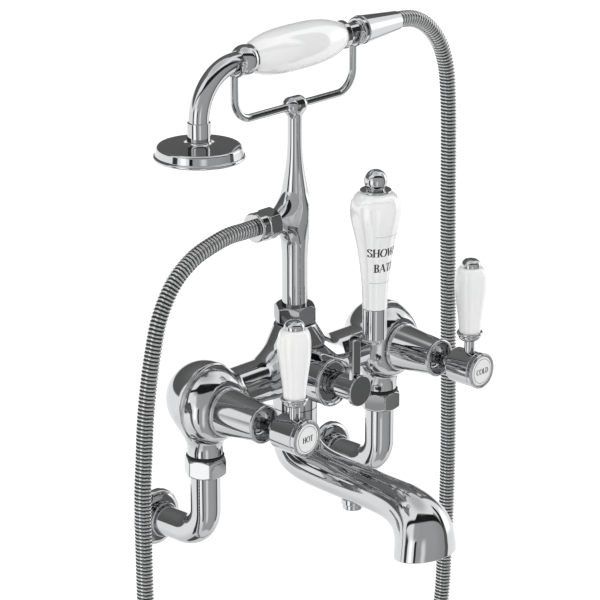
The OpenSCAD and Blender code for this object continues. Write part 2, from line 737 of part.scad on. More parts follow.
// Bent rod through the eyelet, with a fork at the top of each upright
module cradle_rod() color(CHROME) at_centre() {
    flat = fork_span - rod_bend;
    translate([0, 0, cradle_rise]) rightward() cylinder(d = rod_d, h = 2 * flat, center = true);
    translate([flat, 0, cradle_rise + rod_bend]) bend_xz(rod_bend, rod_d, -90);
    translate([-flat, 0, cradle_rise + rod_bend]) bend_xz(rod_bend, rod_d, 180);
    for (x = [-fork_span, fork_span]) translate([x, 0, 0]) {
        rod(rod_d, cradle_rise + rod_bend, handset_rise - fork_r);
        translate([0, 0, handset_rise]) fork();
    }
}

// Half ring under the handset, open at the top, with balls on its ends
module fork() rotate([90, 0, 90]) {
    rotate([0, 0, 180]) rotate_extrude(angle = 180) translate([fork_r, 0]) circle(d = prong_d);
    for (y = [-1, 1]) translate([y * (fork_r + 0.4), 0.6, 0]) sphere(d = prong_d + 0.6);
}

// Round nut on the hose branch, closing on the hose
module outlet_nut() color(CHROME) at_centre() translate([0, 0, branch_rise]) rotate([0, -90, 0]) {
    r = hose_nut_d / 2;
    thread = hose_thread_d / 2 + fit_gap;
    mouth = hose_d / 2 + part_gap + 0.1;
    inner = outlet_tail_back + tail_flange_t + fit_gap;
    turned(concat(
        [[thread, branch_reach]],
        arc(r - 1, branch_reach + 1, 1, -90, 0, 3),
        arc(r - 2.4, outlet_nut_end - 2.4, 2.4, 0, 90, 5),
        [[mouth, outlet_nut_end], [mouth, inner], [thread, inner]]));
}

// Tail crimped on the lower end of the hose
module outlet_tail() color(BRASS) at_centre() translate([0, 0, branch_rise]) rotate([0, -90, 0])
    hose_tail(outlet_tail_back, hose_start - part_gap);

// Flanged tube from a hose nut's washer to the end of the hose
module hose_tail(z0, z1) difference() {
    union() {
        rod(tail_flange_d, z0, z0 + tail_flange_t);
        rod(hose_d - 0.4, z0, z1);
    }
    rod(hose_bore, z0 - 1, z1 + 1);
}

// Route of the hose's centreline to the right and above the inlets: a run from the
// branch, a hanging loop and a run to the handset
branch_run = [[0, 0], [-16, 0], [-32, 0], [-50, -3], [-73, -10], [-94, -25]];
hose_loop = [
    [-153, 200], [-161, 174], [-167, 145], [-171, 116], [-173, 86], [-175, 57], [-175, 16], [-174, -41],
    [-172, -100], [-168, -158], [-152, -216], [-116, -268], [-59, -302], [10, -314], [79, -302],
    [136, -268], [175, -216], [190, -158], [194, -100], [196, -41], [196, 20], [194, 100], [192, 173],
    [191, 227], [190, 285]
];
handset_run = [[75, -68], [71, -46], [62, -27], [48, -12], [32, -3], [16, 0], [0, 0]];
hose_route = concat(
    [for (p = branch_run) [-hose_start, inlet_drop + branch_rise] + p],
    hose_loop,
    [for (p = handset_run) [hose_finish, inlet_drop + handset_rise] + p]);
hose_sides = 8;
rib_depth = 0.7;

// Table of length along the hose against the route's parameter, and the whole length
route_last = len(hose_route) - 1;
route_steps = 8 * route_last;
route_table = [for (i = 0, s = 0; i <= route_steps;
    s = s + norm(along(hose_route, (i + 1) / 8) - along(hose_route, i / 8)), i = i + 1) [s, i / 8]];
hose_length = route_table[route_steps][0];

// Ring of points across the hose at the share t of its length with radius r
function hose_ring(t, r) =
    let (u = lookup(t * hose_length, route_table), c = along(hose_route, u), h = heading(hose_route, u))
    [for (k = [0:hose_sides - 1]) let (a = 360 * k / hose_sides)
        [c[0] - r * cos(a) * h[1], -wall_reach - r * sin(a), c[1] + r * cos(a) * h[0]]];

// Ribbed metal hose, hanging in a loop between the branch and the handset
module shower_hose() color(CHROME) {
    rings = 2 * hose_ribs;
    bore_steps = 90;
    outer = [for (i = [0:rings]) hose_ring(i / rings, hose_d / 2 - (i % 2 == 0 ? rib_depth : 0))];
    inner = [for (i = [0:bore_steps]) hose_ring(i / bore_steps, hose_bore / 2)];
    skinned_tube(outer, inner, hose_sides);
}

// Spindle from the turning disc to the hub, with a tapped end
module spindle(side) color(BRASS) at_valve(side) forward() difference() {
    rod(spindle_d, spindle_foot, spindle_front);
    rod(screw_d, spindle_front - 8, spindle_front + 1);
}
module spindle_left() spindle(LEFT);
module spindle_right() spindle(RIGHT);

// Ceramic disc that the spindle turns over the fixed one
module turning_disc(side) color(CERAMIC) at_valve(side) forward() difference() {
    rod(ceramic_d, disc_face, spindle_foot);
    translate([0, ceramic_d / 4, 0]) rod(ceramic_d / 4, disc_face - 1, spindle_foot + 1);
}
module turning_disc_left() turning_disc(LEFT);
module turning_disc_right() turning_disc(RIGHT);

// Bell-shaped hub with a rim round its index disc
module hub(side) color(CHROME) at_valve(side) difference() {
    rim_r = hub_d / 2;
    rim_t = 5;
    neck_r = spindle_d / 2 + 1.8;
    forward() turned(concat(
        [[0, hub_back], [neck_r, hub_back], [neck_r, bonnet_mouth - 2]],
        curve([neck_r + 1.4, bonnet_mouth - 1], [neck_r + 4, bonnet_mouth + 6], [rim_r - 1.2, bonnet_mouth + 14],
              [rim_r - 0.6, bonnet_mouth + 24]),
        [[rim_r - 0.5, hub_front - rim_t]],
        arc(rim_r - 0.8, hub_front - rim_t + 0.8, 0.8, -90, 0, 3),
        arc(rim_r - 1.2, hub_front - 1.2, 1.2, 0, 90, 4),
        [[0, hub_front]]));
    forward() rod(index_d + 2 * fit_gap, index_back, hub_front + 1);
    forward() rod(screw_head_d + 2 * fit_gap, index_back - screw_head_t, hub_front);
    forward() rod(screw_d + 2 * fit_gap, spindle_front, hub_front);
    forward() rod(spindle_d + 2 * fit_gap, hub_back - 1, spindle_front);
    translate([0, -lever_reach, 0]) rod(stem_d + 2 * fit_gap, stem_foot, hub_d);
}
module hub_left() hub(LEFT);
module hub_right() hub(RIGHT);

// Screw behind the index disc that holds the hub on the spindle
module hub_screw(side) color(BRASS) at_valve(side) forward() difference() {
    union() {
        rod(screw_head_d, index_back - screw_head_t, index_back - part_gap);
        rod(screw_d - 2 * fit_gap, spindle_front - 7, index_back - part_gap);
    }
    rod_hex(3, index_back - 2, index_back);
}
module hub_screw_left() hub_screw(LEFT);
module hub_screw_right() hub_screw(RIGHT);

// Porcelain disc in the face of the hub, a little domed
module index_disc(side) color(PORCELAIN) at_valve(side) forward()
    turned(concat(
        [[0, index_back], [index_d / 2, index_back]],
        arc(index_d / 2 - 1, hub_front - 1, 1, 0, 90, 4),
        [[0, hub_front + 0.4]]));
module index_left() index_disc(LEFT);
module index_right() index_disc(RIGHT);

// Stem with its cup, and the rod that runs up through the porcelain
module lever_stem(side) color(CHROME) at_lever(side) {
    stem_r = stem_d / 2;
    cup_r = cup_d / 2;
    foot_r = lever_foot_d / 2 + fit_gap;
    turned(concat(
        [[0, stem_foot], [stem_r, stem_foot], [stem_r, cup_rise - 5.5]],
        curve([stem_r + 1, cup_rise - 4.5], [stem_r + 3.5, cup_rise - 4], [cup_r - 0.6, cup_rise - 3],
              [cup_r - 0.2, cup_rise + 1.4]),
        arc(cup_r - 0.7, cup_rise + 2.2, 0.7, 0, 180, 5),
        [[foot_r, cup_rise + 1.4], [foot_r, cup_rise], [tie_d / 2, cup_rise],
         [tie_d / 2, lever_top + cap_h / 2], [0, lever_top + cap_h / 2]]));
}
module lever_stem_left() lever_stem(LEFT);
module lever_stem_right() lever_stem(RIGHT);

// Porcelain lever, widening from its cup to a rounded shoulder
module lever_grip(side) color(PORCELAIN) at_lever(side) {
    foot_r = lever_foot_d / 2;
    top_r = lever_top_d / 2;
    bore = tie_d / 2 + fit_gap;
    bulge = lever_top - 13;
    turned(concat(
        [[bore, cup_rise], [foot_r, cup_rise]],
        curve([foot_r, cup_rise + 3], [foot_r + 1.2, cup_rise + 22], [top_r, bulge - 16], [top_r, bulge]),
        curve([top_r, bulge], [top_r, bulge + 9], [cap_d / 2 + 3, lever_top - 0.6], [cap_d / 2, lever_top]),
        [[bore, lever_top]]));
}
module lever_grip_left() lever_grip(LEFT);
module lever_grip_right() lever_grip(RIGHT);

// Domed cap screwed on the tie rod
module lever_cap(side) color(CHROME) at_lever(side) difference() {
    r = cap_d / 2;
    turned(concat(
        [[0, lever_top], [r, lever_top], [r, lever_top + 1]],
        curve([r, lever_top + 1], [r, lever_top + cap_h * 0.7], [r * 0.6, lever_top + cap_h],
              [0, lever_top + cap_h])));
    rod(tie_d + 2 * fit_gap, lever_top - 1, lever_top + cap_h / 2 + fit_gap);
}
module lever_cap_left() lever_cap(LEFT);
module lever_cap_right() lever_cap(RIGHT);

// Diverter's stem: the spindle in its insert and the thick end ahead of it
module diverter_stem() color(CHROME) at_diverter() difference() {
    forward() union() {
        rod(diverter_spindle_d, diverter_foot, stem_back);
        rod(diverter_stem_d, stem_back, stem_front);
    }
    translate([0, -arm_back - arm_t / 2, arm_foot + diverter_stem_d / 2])
        cube([arm_w + 2 * fit_gap, arm_t + 2 * fit_gap, diverter_stem_d], center = true);
}

arm_foot = diverter_stem_d / 2 - 8;

// Ceramic disc that the diverter's spindle turns over its seat
module diverter_disc() color(CERAMIC) at_diverter() forward() difference() {
    rod(diverter_insert_d - 5, diverter_disc_back, diverter_foot);
    translate([0, 5.5, 0]) rod(5.5, diverter_disc_back - 1, diverter_foot + 1);
}

// Flat disc on the end of the diverter's stem
module diverter_end() color(CHROME) at_diverter() forward()
    turned(concat(
        [[0, stem_front], [end_disc_d / 2, stem_front]],
        arc(end_disc_d / 2 - 0.8, stem_front + end_disc_t - 0.8, 0.8, 0, 90, 3),
        [[0, stem_front + end_disc_t]]));

// Cranked arm from the stem up and forward to the handle's socket, with the tie rod
module diverter_arm() color(CHROME) at_diverter() {
    crank_r = 7;
    middle = arm_back + arm_t / 2;
    corner = arm_rise + arm_t - crank_r;
    translate([-arm_w / 2, -arm_back - arm_t, arm_foot]) cube([arm_w, arm_t, corner - arm_foot]);
    translate([0, -arm_back - crank_r, corner]) rotate([90, 0, 90]) rotate_extrude(angle = 90)
        translate([crank_r - arm_t, -arm_w / 2]) square([arm_t, arm_w]);
    translate([-arm_w / 2, -handle_reach, arm_rise]) cube([arm_w, handle_reach - arm_back - crank_r, arm_t]);
    translate([0, -middle - arm_crank, 0]) {
        turned(concat(
            [[0, arm_rise], [arm_w / 2, arm_rise], [arm_w / 2, socket_foot]],
            arc(socket_d / 2 - 1.5, socket_foot + 1.5, 1.5, -90, 0, 4),
            arc(socket_d / 2 - 0.6, socket_top - 0.6, 0.6, 0, 90, 3),
            [[0, socket_top]]));
        rod(tie_d, socket_top - 1, handle_top + 6);
    }
}

// Porcelain handle: a baluster, slender at its foot and full near its top
module diverter_handle() color(PORCELAIN) at_handle() {
    bore = tie_d / 2 + fit_gap;
    foot_r = handle_foot_d / 2;
    max_r = handle_max_d / 2;
    top_r = handle_top_d / 2;
    bulge = handle_top - 16;
    turned(concat(
        [[bore, socket_top], [foot_r, socket_top]],
        curve([foot_r, socket_top + 2], [foot_r + 1.5, socket_top + 34], [max_r, bulge - 34], [max_r, bulge], 14),
        curve([max_r, bulge], [max_r, bulge + 8], [top_r + 1, handle_top - 7], [top_r, handle_top - 1]),
        [[top_r - 0.6, handle_top], [bore, handle_top]]));
}

// Chrome finial: a flange, a waist and a ball
module diverter_finial() color(CHROME) at_handle() difference() {
    flange_r = finial_flange_d / 2;
    ball_r = finial_d / 2;
    waist = 7;
    ball_z = handle_top + 2.6 + ball_r * cos(asin(waist / ball_r));
    turned(concat(
        [[0, handle_top]],
        arc(flange_r - 1, handle_top + 1, 1, -90, 60, 5),
        [[flange_r - 3, handle_top + 2.2]],
        arc(0, ball_z, ball_r, asin(waist / ball_r) - 90, 90, 12)));
    rod(tie_d + 2 * fit_gap, handle_top - 1, handle_top + 6 + fit_gap);
}

// Bent tube from the ball ferrule down to the rose
module handset_neck() color(CHROME) at_handset() difference() {
    neck_path(handset_neck_d, 0);
    neck_path(handset_neck_d - 4, 1);
}

// The neck's straight ends and bend at diameter d, its ends longer by extra
module neck_path(d, extra) {
    rightward() rod(d, neck_start, neck_end + extra);
    translate([neck_start, 0, -handset_bend]) bend_xz(handset_bend, d, 90);
    translate([rose_x, 0, 0]) rod(d, neck_foot - handset_rise - extra, -handset_bend);
}

// Ball-shaped collar between neck and grip, cut flat against the porcelain
module ball_ferrule() color(CHROME) at_handset() rightward() difference() {
    ball_r = ball_d / 2;
    turned(concat(
        [[0, grip_left], [ball_r - 0.3, grip_left], [ball_r - 0.3, ball_x + 0.5]],
        arc(0, ball_x, ball_r, 0, asin((ball_left - ball_x) / ball_r), 10),
        [[0, ball_left]]));
    rod(handset_neck_d + 2 * fit_gap, ball_left - 1, neck_end);
    rod(liner_d + 2 * fit_gap, ball_left, grip_left + 1);
}

// Porcelain grip: a long barrel, full at its middle
module handset_grip() color(PORCELAIN) at_handset() rightward() {
    bore = liner_d / 2 + fit_gap;
    end_r = grip_end_d / 2;
    mid_r = grip_mid_d / 2;
    turned(concat(
        [[bore, grip_left], [end_r, grip_left]],
        curve([end_r, grip_left], [end_r + 7, grip_left + 16], [mid_r, grip_shift - 18], [mid_r, grip_shift], 12),
        curve([mid_r, grip_shift], [mid_r, grip_shift + 18], [end_r + 7, grip_right - 16], [end_r, grip_right], 12),
        [[bore, grip_right]]));
}

// Tube through the grip that ties both ferrules together and carries the water
module grip_liner() color(BRASS) at_handset() rightward()
    tube(liner_d, liner_d - 2.4, neck_end, nipple_end - 2);

// Rear ferrule: ring, waist for the fork, collar and threaded nipple
module rear_ferrule() color(CHROME) at_handset() rightward() {
    bore = liner_d / 2 + fit_gap;
    ring_r = grip_end_d / 2 + 0.4;
    waist_r = handset_neck_d / 2;
    collar_r = hose_nut_d / 2 - 0.8;
    thread_r = hose_thread_d / 2;
    turned(concat(
        [[bore, grip_right], [ring_r, grip_right], [ring_r, grip_right + rear_ring - 1],
         [waist_r, grip_right + rear_ring + 1], [waist_r, rear_collar - 1]],
        arc(collar_r - 2, rear_collar + 2, 2, -90, 0, 5),
        [[collar_r, nut_seat], [thread_r, nut_seat], [thread_r, nipple_end], [bore, nipple_end]]));
}

// Sleeve that joins the neck to the rose
module rose_collar() color(CHROME) at_rose() {
    r = rose_collar_d / 2;
    neck = handset_neck_d / 2 + fit_gap;
    spigot = rose_spigot_d / 2 + fit_gap;
    turned(concat(
        [[spigot, rose_top], [r - 0.6, rose_top], [r, rose_top + 0.8]],
        [[r, rose_top + rose_collar_len - 0.8], [r - 0.6, rose_top + rose_collar_len],
         [neck, rose_top + rose_collar_len], [neck, neck_foot], [spigot, neck_foot]]));
}

rose_spigot_d = 13;

// Shallow round rose, open below, with a rolled rim
module rose_shell() color(CHROME) at_rose() {
    rim_r = rose_d / 2;
    bead = 1.5;
    shoulder_r = rim_r - 2.4;
    shoulder_z = rose_top - 3.5;
    inner_r = shoulder_r - rose_wall;
    bore = rose_spigot_d / 2 - 2;
    turned(concat(
        [[inner_r, rose_rim]],
        arc(rim_r - bead, rose_rim + bead, bead, -90, 90, 6),
        [[shoulder_r + 0.6, rose_rim + 2 * bead + 0.4]],
        arc(shoulder_r - 2.5, shoulder_z - 2.5, 2.5, 0, 80, 5),
        curve([rose_collar_d / 2 + 7, shoulder_z + 0.8], [rose_collar_d / 2 + 2, shoulder_z + 1.2],
              [rose_collar_d / 2 + 1, shoulder_z + 1.8], [rose_collar_d / 2 + 0.4, rose_top]),
        [[rose_spigot_d / 2, rose_top], [rose_spigot_d / 2, neck_foot - part_gap],
         [bore, neck_foot - part_gap], [bore, shoulder_z - rose_wall - 0.5],
         [inner_r - 2, shoulder_z - rose_wall - 1.5], [inner_r, shoulder_z - rose_wall - 4]]));
}

// Perforated plate in the mouth of the rose
module spray_plate() color(CHROME) at_rose() difference() {
    plate_r = rose_d / 2 - 2.4 - rose_wall - fit_gap;
    plate_t = 2.4;
    pitch = (plate_r - 4) / spray_rings;
    rod(2 * plate_r, rose_rim + 0.6, rose_rim + 0.6 + plate_t);
    for (ring = [0:spray_rings - 1], k = [0:max(6 * ring, 1) - 1]) rotate([0, 0, 360 * k / max(6 * ring, 1)])
        translate([ring * pitch, 0, 0]) rod(spray_hole_d, rose_rim, rose_rim + 4);
}

// Long conical nut that holds the hose on the handset
module cone_nut() color(CHROME) at_handset() rightward() {
    wide = hose_nut_d / 2;
    narrow = hose_d / 2 + 1.2;
    thread = hose_thread_d / 2 + fit_gap;
    mouth = hose_d / 2 + part_gap + 0.1;
    inner = nipple_end + tail_flange_t + fit_gap;
    turned([
        [thread, nut_seat], [wide - 0.8, nut_seat], [wide, nut_seat + 1], [wide - 0.6, inner + 3],
        [narrow, cone_end - 0.8], [narrow - 0.6, cone_end], [mouth, cone_end], [mouth, inner], [thread, inner]]);
}

// Tail crimped on the upper end of the hose
module handset_tail() color(BRASS) at_handset() rightward() hose_tail(nipple_end, hose_finish - part_gap);

mixer_body();
spout();
spout_plug();
flow_straightener();
wall_flange_left();
wall_flange_right();
wall_elbow_left();
wall_elbow_right();
union_nut_left();
union_nut_right();
seal_rings();
cartridge_left();
cartridge_right();
fixed_discs();
bonnet_left();
bonnet_right();
diverter_cartridge();
diverter_seat();
diverter_barrel();
riser_nut();
fibre_washers();
riser_column();
cradle_rod();
outlet_nut();
outlet_tail();
shower_hose();
spindle_left();
turning_disc_left();
hub_left();
hub_screw_left();
index_left();
lever_stem_left();
lever_grip_left();
lever_cap_left();
spindle_right();
turning_disc_right();
hub_right();
hub_screw_right();
index_right();
lever_stem_right();
lever_grip_right();
lever_cap_right();
diverter_stem();
diverter_disc();
diverter_end();
diverter_arm();
diverter_handle();
diverter_finial();
handset_neck();
ball_ferrule();
handset_grip();
grip_liner();
rear_ferrule();
rose_collar();
rose_shell();
spray_plate();
cone_nut();
handset_tail();
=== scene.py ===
"""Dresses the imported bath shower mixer: polished chrome, glazed porcelain and a ribbed metal hose.

Lengths in the classes are millimetres of the row's frame: +X is the user's right, +Y points into
the wall and +Z up. A forward distance is measured along -Y from the plane of the valve axes, and a
height from the valve axis, unless a docstring says otherwise.
"""

import json
import logging
import math
from collections.abc import Callable, Sequence
from dataclasses import dataclass
from enum import Enum

import bpy
import numpy as np
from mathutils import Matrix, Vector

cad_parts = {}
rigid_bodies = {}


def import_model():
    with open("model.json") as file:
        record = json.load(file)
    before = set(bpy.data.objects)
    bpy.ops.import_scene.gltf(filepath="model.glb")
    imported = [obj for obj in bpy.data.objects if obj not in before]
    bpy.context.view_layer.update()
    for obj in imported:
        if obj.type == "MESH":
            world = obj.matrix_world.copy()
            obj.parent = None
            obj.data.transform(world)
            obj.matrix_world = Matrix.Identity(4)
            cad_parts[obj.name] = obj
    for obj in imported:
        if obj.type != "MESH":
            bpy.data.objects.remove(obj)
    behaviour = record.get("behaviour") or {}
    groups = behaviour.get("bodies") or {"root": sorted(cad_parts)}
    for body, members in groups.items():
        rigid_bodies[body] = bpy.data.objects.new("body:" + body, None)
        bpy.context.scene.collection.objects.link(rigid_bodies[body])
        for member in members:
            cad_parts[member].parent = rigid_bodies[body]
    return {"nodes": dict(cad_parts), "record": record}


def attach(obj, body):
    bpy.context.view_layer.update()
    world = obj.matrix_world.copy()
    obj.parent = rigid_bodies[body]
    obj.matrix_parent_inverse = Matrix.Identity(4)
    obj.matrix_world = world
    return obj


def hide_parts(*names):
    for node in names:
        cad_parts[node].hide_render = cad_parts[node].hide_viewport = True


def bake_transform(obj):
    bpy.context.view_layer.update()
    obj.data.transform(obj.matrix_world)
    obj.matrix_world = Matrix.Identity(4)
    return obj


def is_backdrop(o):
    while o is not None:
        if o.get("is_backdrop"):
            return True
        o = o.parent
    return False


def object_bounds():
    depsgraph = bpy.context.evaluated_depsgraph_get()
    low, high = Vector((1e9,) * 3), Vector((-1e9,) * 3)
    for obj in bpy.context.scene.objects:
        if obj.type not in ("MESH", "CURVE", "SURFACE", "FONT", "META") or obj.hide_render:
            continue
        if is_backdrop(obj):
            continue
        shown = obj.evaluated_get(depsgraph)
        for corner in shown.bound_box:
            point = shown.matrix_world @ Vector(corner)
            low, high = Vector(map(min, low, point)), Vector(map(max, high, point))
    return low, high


LOG = logging.getLogger("bath_shower_mixer")
MM = 0.001
Array = np.ndarray
Point = tuple[float, float, float]
Corner = tuple[float, ...]
Field = Callable[[Array], Array]

VALVE_REACH = 60.0
VALVE_HEIGHT = 114.0
VALVE_SPREAD = 105.0


class Side(Enum):
    """Which of the two matching valves a piece belongs to."""

    LEFT = -1
    RIGHT = 1


class Axis(Enum):
    """Direction that a turned piece is carried along, with the direction its first meridian faces."""

    UP = ((0.0, 0.0, 1.0), (1.0, 0.0, 0.0))
    DOWN = ((0.0, 0.0, -1.0), (1.0, 0.0, 0.0))
    FORWARD = ((0.0, -1.0, 0.0), (1.0, 0.0, 0.0))
    RIGHT = ((1.0, 0.0, 0.0), (0.0, 1.0, 0.0))
    LEFT = ((-1.0, 0.0, 0.0), (0.0, 1.0, 0.0))


# ---------------------------------------------------------------- surfaces


@dataclass
class Shell:
    """A surface in millimetres: points, their outward directions, four-cornered and three-cornered faces."""

    points: Array
    normals: Array
    quads: Array
    triangles: Array

    def outward(self) -> "Shell":
        """Turns round every face whose winding disagrees with the outward directions.

        Returns:
            The same shell.
        """
        for faces in (self.quads, self.triangles):
            if len(faces):
                a, b, c, d = (self.points[faces[:, k]] for k in (0, 1, 2, -1))
                facing = np.cross(c - a, d - b) if faces.shape[1] == 4 else np.cross(b - a, c - a)
                lean = np.einsum("ij,ij->i", facing, self.normals[faces].sum(1))
                faces[lean < 0] = faces[lean < 0][:, ::-1]
        return self

    @staticmethod
    def joined(shells: Sequence["Shell"]) -> "Shell":
        """Puts several shells into one.

        Args:
            shells: the shells, in order.

        Returns:
            One shell with all their points and faces.
        """
        starts = np.cumsum([0, *[len(s.points) for s in shells[:-1]]])
        return Shell(
            np.vstack([s.points for s in shells]),
            np.vstack([s.normals for s in shells]),
            np.vstack([s.quads + k for s, k in zip(shells, starts)]),
            np.vstack([s.triangles + k for s, k in zip(shells, starts)]),
        )

    def to_object(self, name: str) -> bpy.types.Object:
        """Writes the shell into a mesh object at the origin, in metres.

        Args:
            name: the object's name.

        Returns:
            The object, linked to the scene.
        """
        mesh = bpy.data.meshes.new(name)
        corners = np.concatenate([self.quads.ravel(), self.triangles.ravel()]).astype(np.int32)
        counts = np.concatenate([np.full(len(self.quads), 4), np.full(len(self.triangles), 3)])
        starts = (np.cumsum(counts) - counts).astype(np.int32)
        mesh.vertices.add(len(self.points))
        mesh.vertices.foreach_set("co", (self.points * MM).astype(np.float32).ravel())
        mesh.loops.add(len(corners))
        mesh.loops.foreach_set("vertex_index", corners)
        mesh.polygons.add(len(counts))
        mesh.polygons.foreach_set("loop_start", starts)
        mesh.polygons.foreach_set("use_smooth", np.ones(len(counts), bool))
        mesh.update(calc_edges=True)
        mesh.normals_split_custom_set_from_vertices(self.normals.astype(np.float32))
        made = bpy.data.objects.new(name, mesh)
        bpy.context.scene.collection.objects.link(made)
        return made


@dataclass(frozen=True)
class Spine:
    """A plane line that a profile is carried along.

    Attributes:
        points: the line's points.
        side: the direction square to the line's plane.
        start: the station of the first point.
    """

    points: Array
    side: Array
    start: float = 0.0

    @staticmethod
    def straight(origin: Point, axis: Axis) -> "Spine":
        """A straight line through a point, whose stations count from that point.

        Args:
            origin: the point of station 0.
            axis: the line's direction.

        Returns:
            The spine.
        """
        along, side = (np.array(v) for v in axis.value)
        ends = np.array(origin) + np.array([[-600.0], [600.0]]) * along
        return Spine(ends, side, -600.0)

    def length(self) -> float:
        """The line's length."""
        return float(np.linalg.norm(np.diff(self.points, axis=0), axis=1).sum())

    def sample(self, stations: Array) -> tuple[Array, Array]:
        """Points and directions at stations, by linear interpolation along the length.

        Args:
            stations: lengths along the line.

        Returns:
            The points and the unit tangents.
        """
        steps = np.linalg.norm(np.diff(self.points, axis=0), axis=1)
        at = self.start + np.concatenate([[0.0], np.cumsum(steps)])
        lean = np.gradient(self.points, at, axis=0)
        centre = np.stack([np.interp(stations, at, self.points[:, k]) for k in range(3)], 1)
        tangent = np.stack([np.interp(stations, at, lean[:, k]) for k in range(3)], 1)
        return centre, tangent / np.linalg.norm(tangent, axis=1, keepdims=True)


def bezier(p0: Corner, p1: Corner, p2: Corner, p3: Corner, steps: int = 24, ease: float = 0.0) -> list[Corner]:
    """Points of the cubic B(t) = (1-t)^3 p0 + 3(1-t)^2 t p1 + 3(1-t)t^2 p2 + t^3 p3.

    Args:
        p0: first point.
        p1: its handle.
        p2: handle of the last point.
        p3: last point.
        steps: number of pieces.
        ease: rounding of both ends, where the curve meets its neighbours at an angle.

    Returns:
        Points of radius, station and rounding.
    """
    t = np.linspace(0.0, 1.0, steps + 1)[:, None]
    u = 1 - t
    line = u**3 * np.array(p0) + 3 * u**2 * t * np.array(p1) + 3 * u * t**2 * np.array(p2) + t**3 * np.array(p3)
    rounding = np.zeros((steps + 1, 1))
    rounding[[0, -1]] = ease
    return [tuple(row) for row in np.hstack([line, rounding])]


def arc(cx: float, cy: float, radius: float, start: float, end: float, steps: int = 12) -> list[Corner]:
    """Points of a circular arc, (cx + r cos a, cy + r sin a) for a from start to end in degrees.

    Args:
        cx: first coordinate of the centre.
        cy: second coordinate of the centre.
        radius: the arc's radius.
        start: first angle.
        end: last angle.
        steps: number of pieces.

    Returns:
        Points of radius, station and no rounding.
    """
    a = np.radians(np.linspace(start, end, steps + 1))
    return [tuple(row) for row in np.stack([cx + radius * np.cos(a), cy + radius * np.sin(a), 0 * a], 1)]


def rounded(corners: Sequence[Corner], closed: bool = False, steps: int = 6) -> Array:
    """A profile whose corners are rounded by arcs tangent to both sides.

    A corner with half angle h and rounding q is replaced by an arc of radius q that leaves its
    sides at q / tan(h), at most 0.45 of the shorter side.

    Args:
        corners: points of radius, station and, where wanted, rounding.
        closed: whether the last point joins the first.
        steps: pieces of each arc.

    Returns:
        Points of radius and station.
    """
    at = np.array([c[:2] for c in corners], float)
    size = np.array([c[2] if len(c) > 2 else 0.0 for c in corners])
    if not closed:
        size[[0, -1]] = 0.0
    before, after = np.roll(at, 1, 0) - at, np.roll(at, -1, 0) - at
    reach = 0.45 * np.minimum(np.linalg.norm(before, axis=1), np.linalg.norm(after, axis=1))
    pieces = []
    for p, q, b, f, most in zip(at, size, before, after, reach):
        if q <= 0:
            pieces.append(p[None])
            continue
        b, f = b / np.linalg.norm(b), f / np.linalg.norm(f)
        half = 0.5 * math.acos(float(np.clip(b @ f, -1, 1)))
        turn = math.pi - 2 * half
        if turn < 0.02:
            pieces.append(p[None])
            continue
        tangent = min(q / math.tan(half), float(most))
        radius = tangent * math.tan(half)
        middle = p + (b + f) / np.linalg.norm(b + f) * radius / math.sin(half)
        t = np.linspace(0, 1, steps + 1)[:, None]
        first, last = p + b * tangent - middle, p + f * tangent - middle
        pieces.append(middle + (np.sin((1 - t) * turn) * first + np.sin(t * turn) * last) / math.sin(turn))
    return np.vstack(pieces)


def carried(spine: Spine, profile: Array, closed: bool = False, sides: int = 128) -> Shell:
    """The surface that a profile of radius and station makes round a spine.

    S(i, a) = c(s_i) + r_i (cos a * u + sin a * v), with c the spine's point at station s_i, u its side
    direction and v the direction square to u and to the spine. The outward direction is the profile's
    own normal, weighted by the length of the pieces on both sides.

    Args:
        spine: the line.
        profile: points of radius and station; an open one starts and ends at radius 0.
        closed: whether the profile is a loop.
        sides: points round the spine.

    Returns:
        The surface.
    """
    r, s = profile.T
    area = np.sum(r * np.roll(s, -1) - np.roll(r, -1) * s)
    if area < 0:
        r, s = r[::-1], s[::-1]
    step = np.stack([np.roll(s, -1) - s, r - np.roll(r, -1)], 1)
    if not closed:
        step[-1] = 0
    lean = step + np.roll(step, 1, 0)
    lean /= np.linalg.norm(lean, axis=1, keepdims=True)
    centre, tangent = spine.sample(s)
    a = np.linspace(0, 2 * np.pi, sides, endpoint=False)
    other = np.cross(tangent, spine.side)
    round_ = np.cos(a)[None, :, None] * spine.side + np.sin(a)[None, :, None] * other[:, None]
    points = centre[:, None] + r[:, None, None] * round_
    normals = lean[:, :1, None] * round_ + lean[:, 1:, None] * tangent[:, None]
    return grid_shell(points, normals, closed, not closed)


